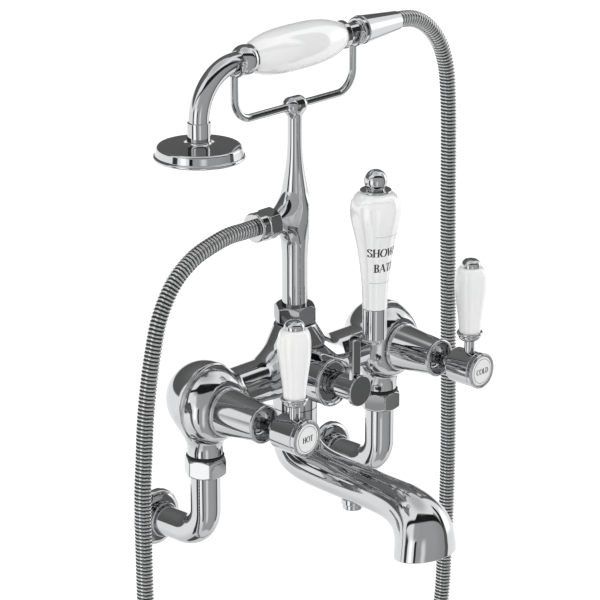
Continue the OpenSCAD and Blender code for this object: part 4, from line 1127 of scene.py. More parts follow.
@dataclass
class BathSpout:
    """The bath spout: an oval tube that turns forward, then down into its flared outlet, and the plug under it."""

    frame: Frame
    wall: float = 4.0
    steps: int = 12
    sides: int = 96
    front: tuple[Corner, ...] = (
        (18.5, -30), (18.5, -43), (19, -50), (21.5, -55.5), (27, -59), (36, -61), (50, -62.4), (74, -64.2),
        (99, -65.2), (123, -66.8), (142, -71.6), (155.4, -80.8), (163, -94), (165.9, -108), (166.4, -116.5))
    back: tuple[Corner, ...] = (
        (-18.5, -30), (-18.5, -47), (-18.4, -61), (-15.5, -74), (-8, -84.5), (6, -91.2), (28, -94.4), (64, -96.4),
        (94, -98), (108, -100.2), (116, -104.2), (119.6, -109), (120.8, -113), (121, -117), (121, -121.5))
    half: tuple[float, ...] = (18.5, 18.5, 18.5, 18.5, 18.2, 17.4, 16.6, 16, 16.3, 17.6, 20.2, 23.4, 26, 27.6, 28.3)
    plug_r: float = 8.5
    plug_h: float = 4.5
    plug_at: float = 65.0
    plug_seat: float = -98.5

    def tube(self) -> Shell:
        """The spout's skin: ovals whose ends run on the front and back outlines, out along the outside,
        round the lip and back inside. S(u, a) = c + cos a * half(u) * x + sin a * (front(u) - c)."""
        front, back = smooth_line(self.front, self.steps), smooth_line(self.back, self.steps)
        half = smooth_line([(h,) for h in self.half], self.steps)[:, 0]
        middle, arm = (front + back) / 2, (front - back) / 2
        reach = np.linalg.norm(arm, axis=1)
        lip = np.linspace(0, np.pi, 9)[1:-1]
        rows = len(front)
        pick = np.concatenate([np.arange(rows), np.full(7, rows - 1), np.arange(rows)[::-1]])
        thin = np.concatenate([np.zeros(rows), self.wall / 2 * (1 - np.cos(lip)), np.full(rows, self.wall)])
        axis = np.stack([arm[-1, 1], -arm[-1, 0]]) / reach[-1]
        push = np.concatenate([np.zeros(rows), 0.9 * np.sin(lip), np.zeros(rows)])
        a = np.linspace(0, 2 * np.pi, self.sides, endpoint=False)
        scale = 1 - thin / reach[pick]
        wide = (half[pick] - thin)[:, None] * np.cos(a)
        line = middle[pick][:, None] + (arm[pick] * scale[:, None])[:, None] * np.sin(a)[:, None] + (push[:, None] * axis)[:, None]
        points = np.stack([wide, -line[..., 0] - VALVE_REACH, line[..., 1] + VALVE_HEIGHT], -1)
        across = np.roll(points, -1, 1) - np.roll(points, 1, 1)
        along = np.roll(points, -1, 0) - np.roll(points, 1, 0)
        along[0], along[-1] = points[1] - points[0], points[-1] - points[-2]
        normals = np.cross(across, along)
        outer = points[:rows] - middle_points(middle)[:, None]
        if np.sum(normals[:rows] * outer) < 0:
            normals = -normals
        return grid_shell(points, normals, True, False)

    def plug(self) -> Shell:
        """Round plug with a coin slot, on its low boss: a drum less a slab."""

        def field(p: Array) -> Array:
            """Distance to the plug and its boss."""
            x, f, z = p[..., 0], p[..., 1] - self.plug_at, p[..., 2] - self.plug_seat
            away = np.hypot(x, f)
            body = drum(away, z + self.plug_h / 2 - 1.5, self.plug_r, self.plug_h / 2 + 1.5, 1.0)
            slot = np.maximum(np.maximum(np.abs(x) - 6.0, np.abs(f) - 1.2), z + self.plug_h - 1.5)
            boss = drum(away, z - 2.5, self.plug_r + 1, 2.5, 0.5)
            return filleted(trimmed(body, -slot, 0.25), boss, 0.3)

        x, f, z = self.plug_r + 2.5, self.plug_at, self.plug_seat
        return cast(field, (-x, f - x, z - self.plug_h - 1), (x, f + x, z + 6), 0.4)

    def build(self) -> None:
        """Builds the spout and its plug, and paints the straightener in its mouth."""
        self.frame.stand_in("spout", self.tube(), CHROME)
        self.frame.stand_in("spout_plug", self.plug(), CHROME)
        self.frame.paint(BRASS, "flow_straightener")


def middle_points(line: Array) -> Array:
    """Points in the row's frame of a line given by forward distance and height, in the plane x = 0."""
    return np.stack([np.zeros(len(line)), -line[:, 0] - VALVE_REACH, line[:, 1] + VALVE_HEIGHT], 1)


@dataclass
class Lettering:
    """Capitals drawn with a broad pen: stems are thick, level strokes thin, and stems end in serifs.

    A letter is one unit high. Its strokes are lines of points with a share of the full pen width.
    """

    stem: float = 0.21
    hair: float = 0.065
    gap: float = 0.04

    @staticmethod
    def bow(cx: float, cy: float, rx: float, ry: float, start: float, end: float) -> Array:
        """Points of an oval stroke from one angle to another, in degrees."""
        a = np.radians(np.linspace(start, end, 41))
        return np.stack([cx + rx * np.cos(a), cy + ry * np.sin(a)], 1)

    @staticmethod
    def bar(x0: float, y0: float, x1: float, y1: float) -> Array:
        """Points of a straight stroke."""
        return np.linspace((x0, y0), (x1, y1), 13)

    def post(self, x: float) -> list[Array]:
        """An upright with a serif at each end."""
        return [self.bar(x, 0, x, 1), self.bar(x - 0.15, 0.02, x + 0.15, 0.02), self.bar(x - 0.15, 0.98, x + 0.15, 0.98)]

    def strokes(self, letter: str) -> tuple[list[Array], float]:
        """The strokes of one letter.

        Args:
            letter: a capital.

        Returns:
            Its strokes and its width.
        """
        bow, bar, post = self.bow, self.bar, self.post
        spine = smooth_line([(0.50, 0.76), (0.44, 0.93), (0.27, 0.98), (0.10, 0.86), (0.13, 0.66), (0.31, 0.53),
                             (0.49, 0.38), (0.52, 0.18), (0.36, 0.03), (0.17, 0.04), (0.07, 0.24)], 6)
        shapes = {
            "A": ([bar(0.06, 0.02, 0.38, 1), bar(0.36, 1, 0.70, 0.02), bar(0.19, 0.34, 0.58, 0.34),
                   bar(-0.04, 0.02, 0.18, 0.02), bar(0.56, 0.02, 0.84, 0.02)], 0.80),
            "B": ([*post(0.17), bow(0.28, 0.76, 0.22, 0.22, 90, -90), bow(0.28, 0.27, 0.28, 0.25, 90, -90),
                   bar(0.17, 0.98, 0.28, 0.98), bar(0.17, 0.53, 0.28, 0.53), bar(0.17, 0.02, 0.28, 0.02)], 0.62),
            "C": ([bow(0.44, 0.5, 0.38, 0.48, 48, 312), bar(0.70, 0.68, 0.70, 0.92)], 0.74),
            "D": ([*post(0.17), bow(0.27, 0.5, 0.44, 0.48, 90, -90), bar(0.17, 0.98, 0.27, 0.98), bar(0.17, 0.02, 0.27, 0.02)], 0.76),
            "E": ([*post(0.17), bar(0.17, 0.98, 0.58, 0.98), bar(0.17, 0.52, 0.46, 0.52), bar(0.17, 0.02, 0.60, 0.02),
                   bar(0.58, 0.98, 0.58, 0.80), bar(0.60, 0.02, 0.62, 0.22), bar(0.46, 0.44, 0.46, 0.60)], 0.66),
            "H": ([*post(0.17), *post(0.68), bar(0.17, 0.52, 0.68, 0.52)], 0.85),
            "L": ([*post(0.17), bar(0.17, 0.02, 0.58, 0.02), bar(0.58, 0.02, 0.60, 0.24)], 0.64),
            "O": ([bow(0.43, 0.5, 0.37, 0.48, 0, 180), bow(0.43, 0.5, 0.37, 0.48, 180, 360)], 0.86),
            "R": ([*post(0.17), bow(0.28, 0.75, 0.24, 0.23, 90, -90), bar(0.17, 0.98, 0.28, 0.98), bar(0.17, 0.52, 0.28, 0.52),
                   bar(0.34, 0.52, 0.68, 0.02), bar(0.60, 0.02, 0.78, 0.02)], 0.76),
            "S": ([spine, bar(0.50, 0.74, 0.50, 0.96), bar(0.07, 0.04, 0.07, 0.26)], 0.60),
            "T": ([*post(0.35)[:2], bar(0.03, 0.98, 0.67, 0.98), bar(0.03, 0.98, 0.03, 0.78), bar(0.67, 0.98, 0.67, 0.78)], 0.70),
            "W": ([bar(0.08, 1, 0.32, 0), bar(0.32, 0, 0.55, 1), bar(0.52, 1, 0.76, 0), bar(0.76, 0, 0.99, 1),
                   bar(-0.05, 0.98, 0.20, 0.98), bar(0.40, 0.98, 0.66, 0.98), bar(0.88, 0.98, 1.08, 0.98)], 1.04),
        }
        return shapes[letter]

    def word(self, text: str) -> list[tuple[Array, Array]]:
        """Strokes of a word, centred on its middle.

        Args:
            text: capitals.

        Returns:
            Points and half widths of each stroke.
        """
        drawn, x = [], 0.0
        for letter in text:
            lines, width = self.strokes(letter)
            drawn += [line + (x, 0) for line in lines]
            x += width + self.gap
        middle = (x - self.gap) / 2
        return [self.penned(line - (middle, 0)) for line in drawn]

    def penned(self, line: Array) -> tuple[Array, Array]:
        """Half the pen's width along a stroke: hair + (stem - hair) |dy / ds|, thinner where it rises to the right."""
        lean = np.gradient(line, axis=0)
        lean /= np.linalg.norm(lean, axis=1, keepdims=True)
        rising = (lean[:, 0] * lean[:, 1] > 0.12) & (np.abs(lean[:, 1]) > 0.8) & (len(line) == 13)
        width = self.hair + (self.stem - self.hair) * np.abs(lean[:, 1]) ** 1.5
        short = np.linalg.norm(line[-1] - line[0]) < 0.3 and len(line) == 13
        return line, np.where(rising | short, self.hair, width) / 2

    def laid(self, text: str, height: float, onto: Callable[[Array], tuple[Array, Array]], lift: float = 0.06) -> Shell:
        """Lays a word on a surface as thin closed ribbons.

        Args:
            text: capitals.
            height: height of the letters.
            onto: gives points and outward directions of the surface for flat points.
            lift: how far the ink stands above the surface.

        Returns:
            The ribbons.
        """
        return Shell.joined([ribbon(line * height, half * height, onto, lift) for line, half in self.word(text)])


def ribbon(line: Array, half: Array, onto: Callable[[Array], tuple[Array, Array]], lift: float) -> Shell:
    """A thin closed ribbon of varying width on a surface; its section is left, middle, right and back underneath.

    Args:
        line: flat points of its middle.
        half: half its width at each.
        onto: gives points and outward directions of the surface for flat points.
        lift: its height above the surface.

    Returns:
        The ribbon.
    """
    lean = np.gradient(line, axis=0)
    lean /= np.linalg.norm(lean, axis=1, keepdims=True)
    across = np.stack([-lean[:, 1], lean[:, 0]], 1) * half[:, None]
    flat = np.stack([line + k * across for k in (-1.0, 0.0, 1.0, 1.0, 0.0, -1.0)], 1)
    where, away = onto(flat.reshape(-1, 2))
    where, away = where.reshape(*flat.shape[:2], 3), away.reshape(*flat.shape[:2], 3)
    rise = np.array([lift, lift, lift, -lift, -lift, -lift])[None, :, None]
    rings = where + rise * away
    sign = np.array([1.0, 1.0, 1.0, -1.0, -1.0, -1.0])[None, :, None]
    ends = np.stack([rings[0].mean(0), rings[-1].mean(0)])[:, None] * np.ones((1, 6, 1))
    points = np.concatenate([ends[:1], rings, ends[1:]])
    normals = np.concatenate([away[:1], away * sign, away[-1:]])
    return grid_shell(points, normals, False, True)


@dataclass
class QuarterLever:
    """One valve's bonnet and its lever: hub, index disc, stem with cup, porcelain grip and domed cap."""

    frame: Frame
    side: Side
    label: str
    seat: float = 24.0
    ring_r: float = 20.5
    rim_r: float = 16.0
    mouth: float = 67.5
    bonnet_wall: float = 2.0
    hub_r: float = 15.2
    hub_neck_r: float = 5.8
    hub_back: float = 58.5
    hub_front: float = 112.7
    drum: float = 29.5
    index_r: float = 12.4
    index_t: float = 2.6
    reach: float = 98.7
    stem_r: float = 4.3
    stem_foot: float = 8.8
    cup: float = 29.6
    cup_r: float = 10.4
    foot_r: float = 9.0
    top_r: float = 13.2
    top: float = 87.5
    cap_r: float = 8.2
    cap_h: float = 7.2

    def bonnet(self) -> Array:
        """Hollow taper between a rolled ring at its foot and a rolled rim, with a bowl inside its mouth."""
        ring_t, rim_t, wall = 3.6, 3.2, self.bonnet_wall
        foot, lip = self.seat + ring_t, self.mouth - rim_t
        return rounded([
            (self.ring_r - wall - 2, self.seat, 0.3),
            *arc(self.ring_r - ring_t / 2, self.seat + ring_t / 2, ring_t / 2, -90, 80, 12),
            (self.ring_r - 1.4, foot + 0.6, 0.5), (self.rim_r - 1, lip - 0.4, 0.4),
            *arc(self.rim_r - rim_t / 2, self.mouth - rim_t / 2, rim_t / 2, -70, 120, 14),
            *bezier((self.rim_r - wall - 0.8, lip), (self.rim_r - wall - 1, lip - 5), (self.hub_neck_r + 5, lip - 8),
                    (self.hub_neck_r, lip - 8.2), 16, 0.3),
            (self.hub_neck_r, lip - 9.5, 0.3), (self.rim_r - wall - 1, lip - 9.5, 0.5),
            (self.ring_r - wall - 2, foot + 6, 0.5)], True)

    def hub(self) -> Array:
        """Slim neck, a drum with a rounded back, a fine groove, and a beaded bezel round the index disc."""
        r, n, front = self.hub_r, self.hub_neck_r, self.hub_front
        back = front - self.drum
        return rounded([
            (0, self.hub_back), (n, self.hub_back, 0.5), (n - 0.9, self.mouth - 4, 1.0), (n - 0.9, back - 3.2, 1.6),
            (n + 1.6, back - 1.6, 1.0), (n + 1.8, back - 0.4, 0.6), (r - 2.4, back, 1.0), (r - 0.7, back + 2.2, 2.0),
            (r - 0.5, front - 5.4, 0.25), (r - 1.0, front - 4.9, 0.25), (r - 0.2, front - 4.2, 0.4),
            (r, front - 0.6, 0.9), (r - 1.0, front + 0.5, 0.6), (r - 1.5, front - 0.2, 0.3), (r - 2.0, front + 0.45, 0.3),
            (self.index_r + 0.1, front + 0.35, 0.3), (self.index_r + 0.1, front - self.index_t, 0.2), (0, front - self.index_t)])

    def index(self) -> Array:
        """Slightly domed disc with a rounded rim."""
        back, front = self.hub_front - self.index_t, self.hub_front
        return rounded([(0, back), (self.index_r, back, 0.2), (self.index_r, front - 0.1, 0.9),
                        (self.index_r - 2.4, front + 0.16, 1.0), (0, front + 0.4)])

    def stem(self) -> Array:
        """Stem that opens into a cup with a rolled lip, and the rod that runs up through the grip."""
        c, r = self.cup, self.cup_r
        return rounded([
            (0, self.stem_foot), (self.stem_r, self.stem_foot, 0.2), (self.stem_r, c - 5.5, 0.5),
            *bezier((self.stem_r + 2.2, c - 5.2), (self.stem_r + 4, c - 4.8), (r - 0.9, c - 3.4), (r - 0.9, c - 1.0), 20, 0.4),
            *arc(r - 0.9, c + 0.9, 1.5, -80, 120, 14), (self.foot_r + 0.1, c + 1.6, 0.2),
            (self.foot_r + 0.1, c, 0.3), (2.5, c, 0.2), (2.5, self.top + self.cap_h / 2, 0.2), (0, self.top + self.cap_h / 2)])

    def grip(self) -> Array:
        """Porcelain grip, widening from its cup to a full rounded shoulder."""
        bulge = self.top - 13
        return rounded([
            (2.6, self.cup, 0.3), (self.foot_r, self.cup, 0.6), (self.foot_r, self.cup + 2.2),
            *bezier((self.foot_r, self.cup + 3), (self.foot_r + 1.2, self.cup + 22), (self.top_r, bulge - 16), (self.top_r, bulge), 36),
            *bezier((self.top_r, bulge), (self.top_r, bulge + 9), (self.cap_r + 3, self.top - 0.6), (self.cap_r, self.top), 24, 0.4)[1:],
            (2.6, self.top, 0.3)], True)

    def cap(self) -> Array:
        """Domed cap with an upright edge."""
        top, r = self.top, self.cap_r
        return rounded([(0, top), (r, top, 0.3), (r, top + 0.6),
                        *bezier((r, top + 1), (r, top + self.cap_h * 0.7), (r * 0.6, top + self.cap_h), (0, top + self.cap_h), 28)])

    def build(self) -> None:
        """Builds the bonnet and the lever, and letters the index disc."""
        x, word = self.side.value * VALVE_SPREAD, self.side.name.lower()
        valve = Spine.straight((x, -VALVE_REACH, VALVE_HEIGHT), Axis.FORWARD)
        lever = Spine.straight((x, -VALVE_REACH - self.reach, VALVE_HEIGHT), Axis.UP)
        stand_in = self.frame.stand_in
        stand_in(f"bonnet_{word}", carried(valve, self.bonnet(), True), CHROME)
        stand_in(f"hub_{word}", carried(valve, self.hub()), CHROME)
        stand_in(f"index_{word}", carried(valve, self.index()), LEVER_PORCELAIN)
        stand_in(f"lever_stem_{word}", carried(lever, self.stem()), CHROME)
        stand_in(f"lever_grip_{word}", carried(lever, self.grip(), True), LEVER_PORCELAIN)
        stand_in(f"lever_cap_{word}", carried(lever, self.cap()), CHROME)

        def onto(flat: Array) -> tuple[Array, Array]:
            """Points of the disc's dome above flat points to the right and up."""
            away = np.hypot(*flat.T)
            rise = self.hub_front + 0.4 - 0.24 * np.minimum(away / (self.index_r - 2.4), 1) ** 1
            place = np.stack([flat[:, 0] + x, -VALVE_REACH - rise, flat[:, 1] + VALVE_HEIGHT], 1)
            return place, np.tile([0.0, -1.0, 0.0], (len(flat), 1))

        a = np.radians(np.linspace(0, 360, 97))
        ring = np.stack([10.4 * np.cos(a), 10.4 * np.sin(a)], 1)
        marks = [Lettering().laid(self.label, 4.6, lambda q: onto(q - (0, 2.3)))]
        marks.append(ribbon(ring, np.full(97, 0.16), onto, 0.06))
        self.frame.added(f"index_lettering_{word}", f"index_{word}", Shell.joined(marks), INK)


@dataclass
class Diverter:
    """The lever that sends the water to bath or shower: barrel, stem, end disc, cranked arm, handle and finial.

    The handle's outline is given as radius and height above the diverter's axis.
    """

    frame: Frame
    rise: float = 1.0
    barrel_r: float = 20.0
    barrel_wall: float = 2.8
    seat: float = 17.0
    mouth: float = 45.0
    gland: float = 4.5
    gland_fit: float = 0.25
    stem_r: float = 10.2
    stem_back: float = 33.0
    stem_front: float = 70.0
    disc_r: float = 13.0
    disc_t: float = 3.3
    arm_half: float = 4.75
    arm_t: float = 5.0
    arm_back: float = 64.0
    arm_foot: float = 3.7
    arm_rise: float = 44.0
    crank_r: float = 7.0
    reach: float = 87.5
    socket_r: float = 9.75
    socket_foot: float = 49.0
    socket_top: float = 75.0
    foot_r: float = 10.0
    outline: tuple[Corner, ...] = (
        (10.0, 77.5), (10.4, 88), (11.3, 99), (12.7, 112), (14.8, 126), (17.5, 138.5), (19.7, 148), (20.6, 155.5),
        (20.0, 162.3), (17.9, 167.2), (15.0, 170.0), (13.2, 170.8))
    top: float = 171.3
    flange_r: float = 12.7
    ball_r: float = 9.4

    def barrel(self) -> Array:
        """Tube with a bead at its mouth, closed round the stem by a gland that lies inside it."""
        r, bead, m = self.barrel_r, 1.6, self.mouth
        inner, bore, gland = r - self.barrel_wall, self.stem_r + self.gland_fit, m - self.gland
        return rounded([
            (inner, self.seat, 0.3), (r, self.seat, 0.4), (r, m - 2 * bead, 0.4),
            *arc(r - bead + 0.5, m - bead, bead, -70, 110, 14), (inner, m - 1.4, 0.4), (inner, gland, 1.2),
            (bore, gland, 0.6), (bore, gland - 3, 0.2), (inner, gland - 3, 0.3)], True)

    def stem(self) -> Array:
        """Thick round stem, ending flat behind the end disc."""
        return rounded([(0, self.stem_back), (self.stem_r, self.stem_back, 0.6), (self.stem_r, self.stem_front, 0.3),
                        (0, self.stem_front)])

    def disc(self) -> Array:
        """Flat disc with a rounded edge."""
        front = self.stem_front + self.disc_t
        return rounded([(0, self.stem_front), (self.disc_r, self.stem_front, 0.4), (self.disc_r, front, 0.9), (0, front)])

    def arm_field(self, p: Array) -> Array:
        """Distance to the cranked arm: a bar with rounded edges bent through a quarter turn, filleted into its socket.

        Args:
            p: points to the right, forward and above the valve axis.

        Returns:
            The distances.
        """
        x, f, z = p[..., 0], p[..., 1], p[..., 2] - self.rise
        half, edge = self.arm_t / 2, 0.9
        bend = self.crank_r - half
        cf, cz = self.arm_back + self.crank_r, self.arm_rise + self.arm_t - self.crank_r
        upright = np.hypot(f - self.arm_back - half, z - np.clip(z, self.arm_foot + half, cz))
        level = np.hypot(f - np.clip(f, cf, self.reach), z - self.arm_rise - half)
        corner = np.where((f < cf) & (z > cz), np.abs(np.hypot(f - cf, z - cz) - bend), 1e3)
        off = np.minimum(np.minimum(upright, level), corner)
        q, w = off - half + edge, np.abs(x) - self.arm_half + edge
        bar = np.hypot(np.maximum(q, 0), np.maximum(w, 0)) + np.minimum(np.maximum(q, w), 0) - edge
        away = np.hypot(x, f - self.reach)
        middle, tall = (self.socket_foot + self.socket_top) / 2, (self.socket_top - self.socket_foot) / 2
        socket = drum(away, z - middle, self.socket_r, tall, 0.8)
        foot = drum(away, z - self.arm_rise - 4, self.arm_half, 4, 0.8)
        return filleted(filleted(bar, foot, 1.0), socket, 3.5)

    def handle(self) -> Array:
        """Porcelain baluster, slender at its foot and full near its top."""
        curve = [tuple(point) for point in smooth_line(self.outline, 8)]
        return rounded([
            (2.6, self.socket_top, 0.3), (self.foot_r, self.socket_top, 0.6), *curve,
            (self.outline[-1][0] - 0.8, self.top, 0.4), (2.6, self.top, 0.3)], True)

    def finial(self) -> Array:
        """Flange, narrow waist and ball."""
        waist, top = 7.0, self.top
        dip = math.degrees(math.asin(waist / self.ball_r))
        middle = top + 2.6 + self.ball_r * math.cos(math.radians(dip))
        return rounded([(0, top), *arc(self.flange_r - 1, top + 1, 1, -90, 60, 10), (self.flange_r - 3, top + 2.0, 0.6),
                        (waist + 0.4, top + 2.3, 0.5), *arc(0, middle, self.ball_r, dip - 90, 90, 40)])

    def onto_handle(self, flat: Array) -> tuple[Array, Array]:
        """Points of the handle's front for flat points to the right of its middle and above its foot.

        A point (u, v) lies at the angle u / r(m) from straight ahead, at the radius r(v) of the handle,
        where m is the middle height of the points.

        Args:
            flat: the flat points.

        Returns:
            Points and outward directions.
        """
        profile = self.handle()
        outer = profile[profile[:, 0] > self.foot_r - 0.5]
        order = np.argsort(outer[:, 1])
        height = self.socket_top + flat[:, 1]
        radius = np.interp(height, outer[order, 1], outer[order, 0])
        a = flat[:, 0] / np.interp(np.mean(height), outer[order, 1], outer[order, 0])
        away = np.stack([np.sin(a), -np.cos(a), 0 * a], 1)
        axis = np.stack([0 * a, 0 * a - VALVE_REACH - self.reach, height + self.rise + VALVE_HEIGHT], 1)
        return axis + radius[:, None] * away, away

    def build(self) -> None:
        """Builds the diverter and letters its handle."""
        axis = Spine.straight((0, -VALVE_REACH, VALVE_HEIGHT + self.rise), Axis.FORWARD)
        post = Spine.straight((0, -VALVE_REACH - self.reach, VALVE_HEIGHT + self.rise), Axis.UP)
        stand_in = self.frame.stand_in
        stand_in("diverter_barrel", carried(axis, self.barrel(), True), CHROME)
        stand_in("diverter_stem", carried(axis, self.stem()), CHROME)
        stand_in("diverter_end", carried(axis, self.disc()), CHROME)
        arm = cast(self.arm_field, (-11.5, 62, 3), (11.5, 99, 77.5), 0.5)
        stand_in("diverter_arm", arm, CHROME)
        stand_in("diverter_handle", carried(post, self.handle(), True, 160), PORCELAIN)
        stand_in("diverter_finial", carried(post, self.finial()), CHROME)
        pen = Lettering()
        words = [pen.laid("SHOWER", 6.9, lambda q: self.onto_handle(q + (-1.5, 46.2))),
                 pen.laid("BATH", 6.9, lambda q: self.onto_handle(q + (-1.0, 33.0)))]
        self.frame.added("handle_lettering", "diverter_handle", Shell.joined(words), INK)
        level = np.stack([np.linspace(-14.5, 14.5, 81), np.zeros(81)], 1)
        lines = [ribbon(level + (0, v), np.full(81, 0.16), self.onto_handle, 0.05) for v in (23.6, 63.5)]
        self.frame.added("handle_lines", "diverter_handle", Shell.joined(lines), FAINT_INK)


@dataclass
class Riser:
    """The riser: its nut, the column with the hose branch and eyelet, the cradle rod and the lower hose nut."""

    frame: Frame
    nut_af: float = 31.0
    nut_foot: float = 43.3
    nut_top: float = 59.3
    column_foot: float = 56.5
    lower_r: float = 10.5
    middle_r: float = 12.2
    tip_r: float = 5.85
    branch: float = 134.0
    branch_r: float = 9.0
    branch_reach: float = 25.0
    branch_fillet: float = 15.0
    cradle: float = 226.0
    eyelet_r: float = 7.9
    eyelet_half: float = 10.8
    rod_r: float = 3.25
    fork_span: float = 68.5
    rod_bend: float = 18.0
    handset: float = 274.0
    fork_r: float = 10.45
    prong_r: float = 2.0
    hose_nut_r: float = 12.2
    hose_nut_end: float = 48.0
    hose_mouth_r: float = 7.4

    def column_field(self, p: Array) -> Array:
        """Distance to the column: a turned post of radius r(z), the branch to the left and the eyelet across its tip.

        Args:
            p: points to the right, forward and above the valve axis.

        Returns:
            The distances.
        """
        x, f, z = p[..., 0], p[..., 1], p[..., 2]
        b = self.branch
        line = np.array([
            (self.lower_r, self.column_foot - 20), (self.lower_r, b - 60),
            *[c[:2] for c in bezier((self.lower_r, b - 40), (self.lower_r, b - 26), (self.middle_r, b - 20), (self.middle_r, b - 4), 80)],
            *[c[:2] for c in bezier((self.middle_r, b + 4), (self.middle_r, b + 26), (self.tip_r, b + 36), (self.tip_r, b + 66), 120)],
            (self.tip_r, self.cradle + 30)])
        radius = np.interp(z, line[:, 1], line[:, 0])
        slope = np.interp(z, line[:, 1], np.gradient(line[:, 0], line[:, 1]))
        post = (np.hypot(x, f) - radius) / np.sqrt(1 + slope**2)
        post = np.maximum(np.maximum(post, self.column_foot - z), z - self.cradle)
        arm = np.maximum(np.hypot(f, z - b) - self.branch_r, x + 6)
        arm = trimmed(arm, -self.branch_reach - 3 - x, 0.3)
        eyelet = drum(np.hypot(f, z - self.cradle), x, self.eyelet_r, self.eyelet_half, 6.8)
        return filleted(filleted(post, arm, self.branch_fillet), eyelet, 3.0)

    def cradle_rod(self) -> Shell:
        """A rod bent up at both ends, each end with a half ring that is open at the top and ends in small balls."""
        low, high = self.cradle, self.handset - self.fork_r
        a = np.radians(np.linspace(0, 90, 25))
        right = np.stack([self.fork_span - self.rod_bend + self.rod_bend * np.sin(a),
                          low + self.rod_bend * (1 - np.cos(a))], 1)
        half = np.vstack([[[0, low]], right, [[self.fork_span, high]]])
        line = np.vstack([half[::-1] * (-1, 1), half[1:]])
        dense = np.vstack([np.linspace(p, q, 6, endpoint=False) for p, q in zip(line[:-1], line[1:])] + [line[-1:]])
        spine = Spine(np.stack([dense[:, 0], np.full(len(dense), -VALVE_REACH), dense[:, 1] + VALVE_HEIGHT], 1),
                      np.array([0.0, 1.0, 0.0]))
        end = spine.length()
        rod = carried(spine, np.array([(0, 0), *[(self.rod_r, s) for s in np.linspace(0, end, 260)], (0, end)]), sides=64)
        shells = [rod]
        for x in (-self.fork_span, self.fork_span):
            b = np.radians(np.linspace(180, 360, 61))
            ring = np.stack([np.full(61, x), -VALVE_REACH + self.fork_r * np.cos(b),
                             VALVE_HEIGHT + self.handset + self.fork_r * np.sin(b)], 1)
            bent = Spine(ring, np.array([1.0, 0.0, 0.0]))
            far = bent.length()
            shells.append(carried(bent, np.array(
                [(0, 0), *[(self.prong_r, s) for s in np.linspace(0, far, 60)], (0, far)]), sides=40))
            for way in (-1, 1):
                spot = (x, -VALVE_REACH + way * (self.fork_r + 0.4), VALVE_HEIGHT + self.handset + 0.6)
                ball = np.array([c[:2] for c in arc(0, 0, self.prong_r + 0.3, -90, 90, 20)])
                shells.append(carried(Spine.straight(spot, Axis.UP), ball, sides=40))
        return Shell.joined(shells)

    def hose_nut_field(self, p: Array) -> Array:
        """Distance to the lower hose nut: a hexagon towards the column and a round ferrule on the hose.

        Args:
            p: points to the right, forward and above the valve axis.

        Returns:
            The distances.
        """
        along, f, z = -p[..., 0], p[..., 1], p[..., 2] - self.branch
        start, end = self.branch_reach, self.hose_nut_end
        middle = start + 7.5
        nut = hexagon(f, z, along - middle, 2 * self.hose_nut_r - 1.4, 7.5, 12.0)
        joint = start + 13.5
        ferrule = drum(np.hypot(f, z), along - (joint + end) / 2, self.hose_nut_r, (end - joint) / 2, 1.6)
        return filleted(nut, ferrule, 0.3)

    def build(self) -> None:
        """Builds the riser and its cradle."""
        stand_in = self.frame.stand_in
        # The riser nut wears the darker chrome copy, which is painted shade.
        stand_in("riser_nut", hexagon_nut(self.nut_af, self.nut_foot, self.nut_top, 0.0), SHADE_PAINTED_CHROME)
        stand_in("riser_column", cast(self.column_field, (-30, -16, 55), (16, 16, 236), 0.75), CHROME)
        stand_in("cradle_rod", self.cradle_rod(), CHROME)
        low, high = (-self.hose_nut_end - 1, -15, self.branch - 15), (1 - self.branch_reach, 15, self.branch + 15)
        stand_in("outlet_nut", cast(self.hose_nut_field, low, high, 0.4), CHROME)


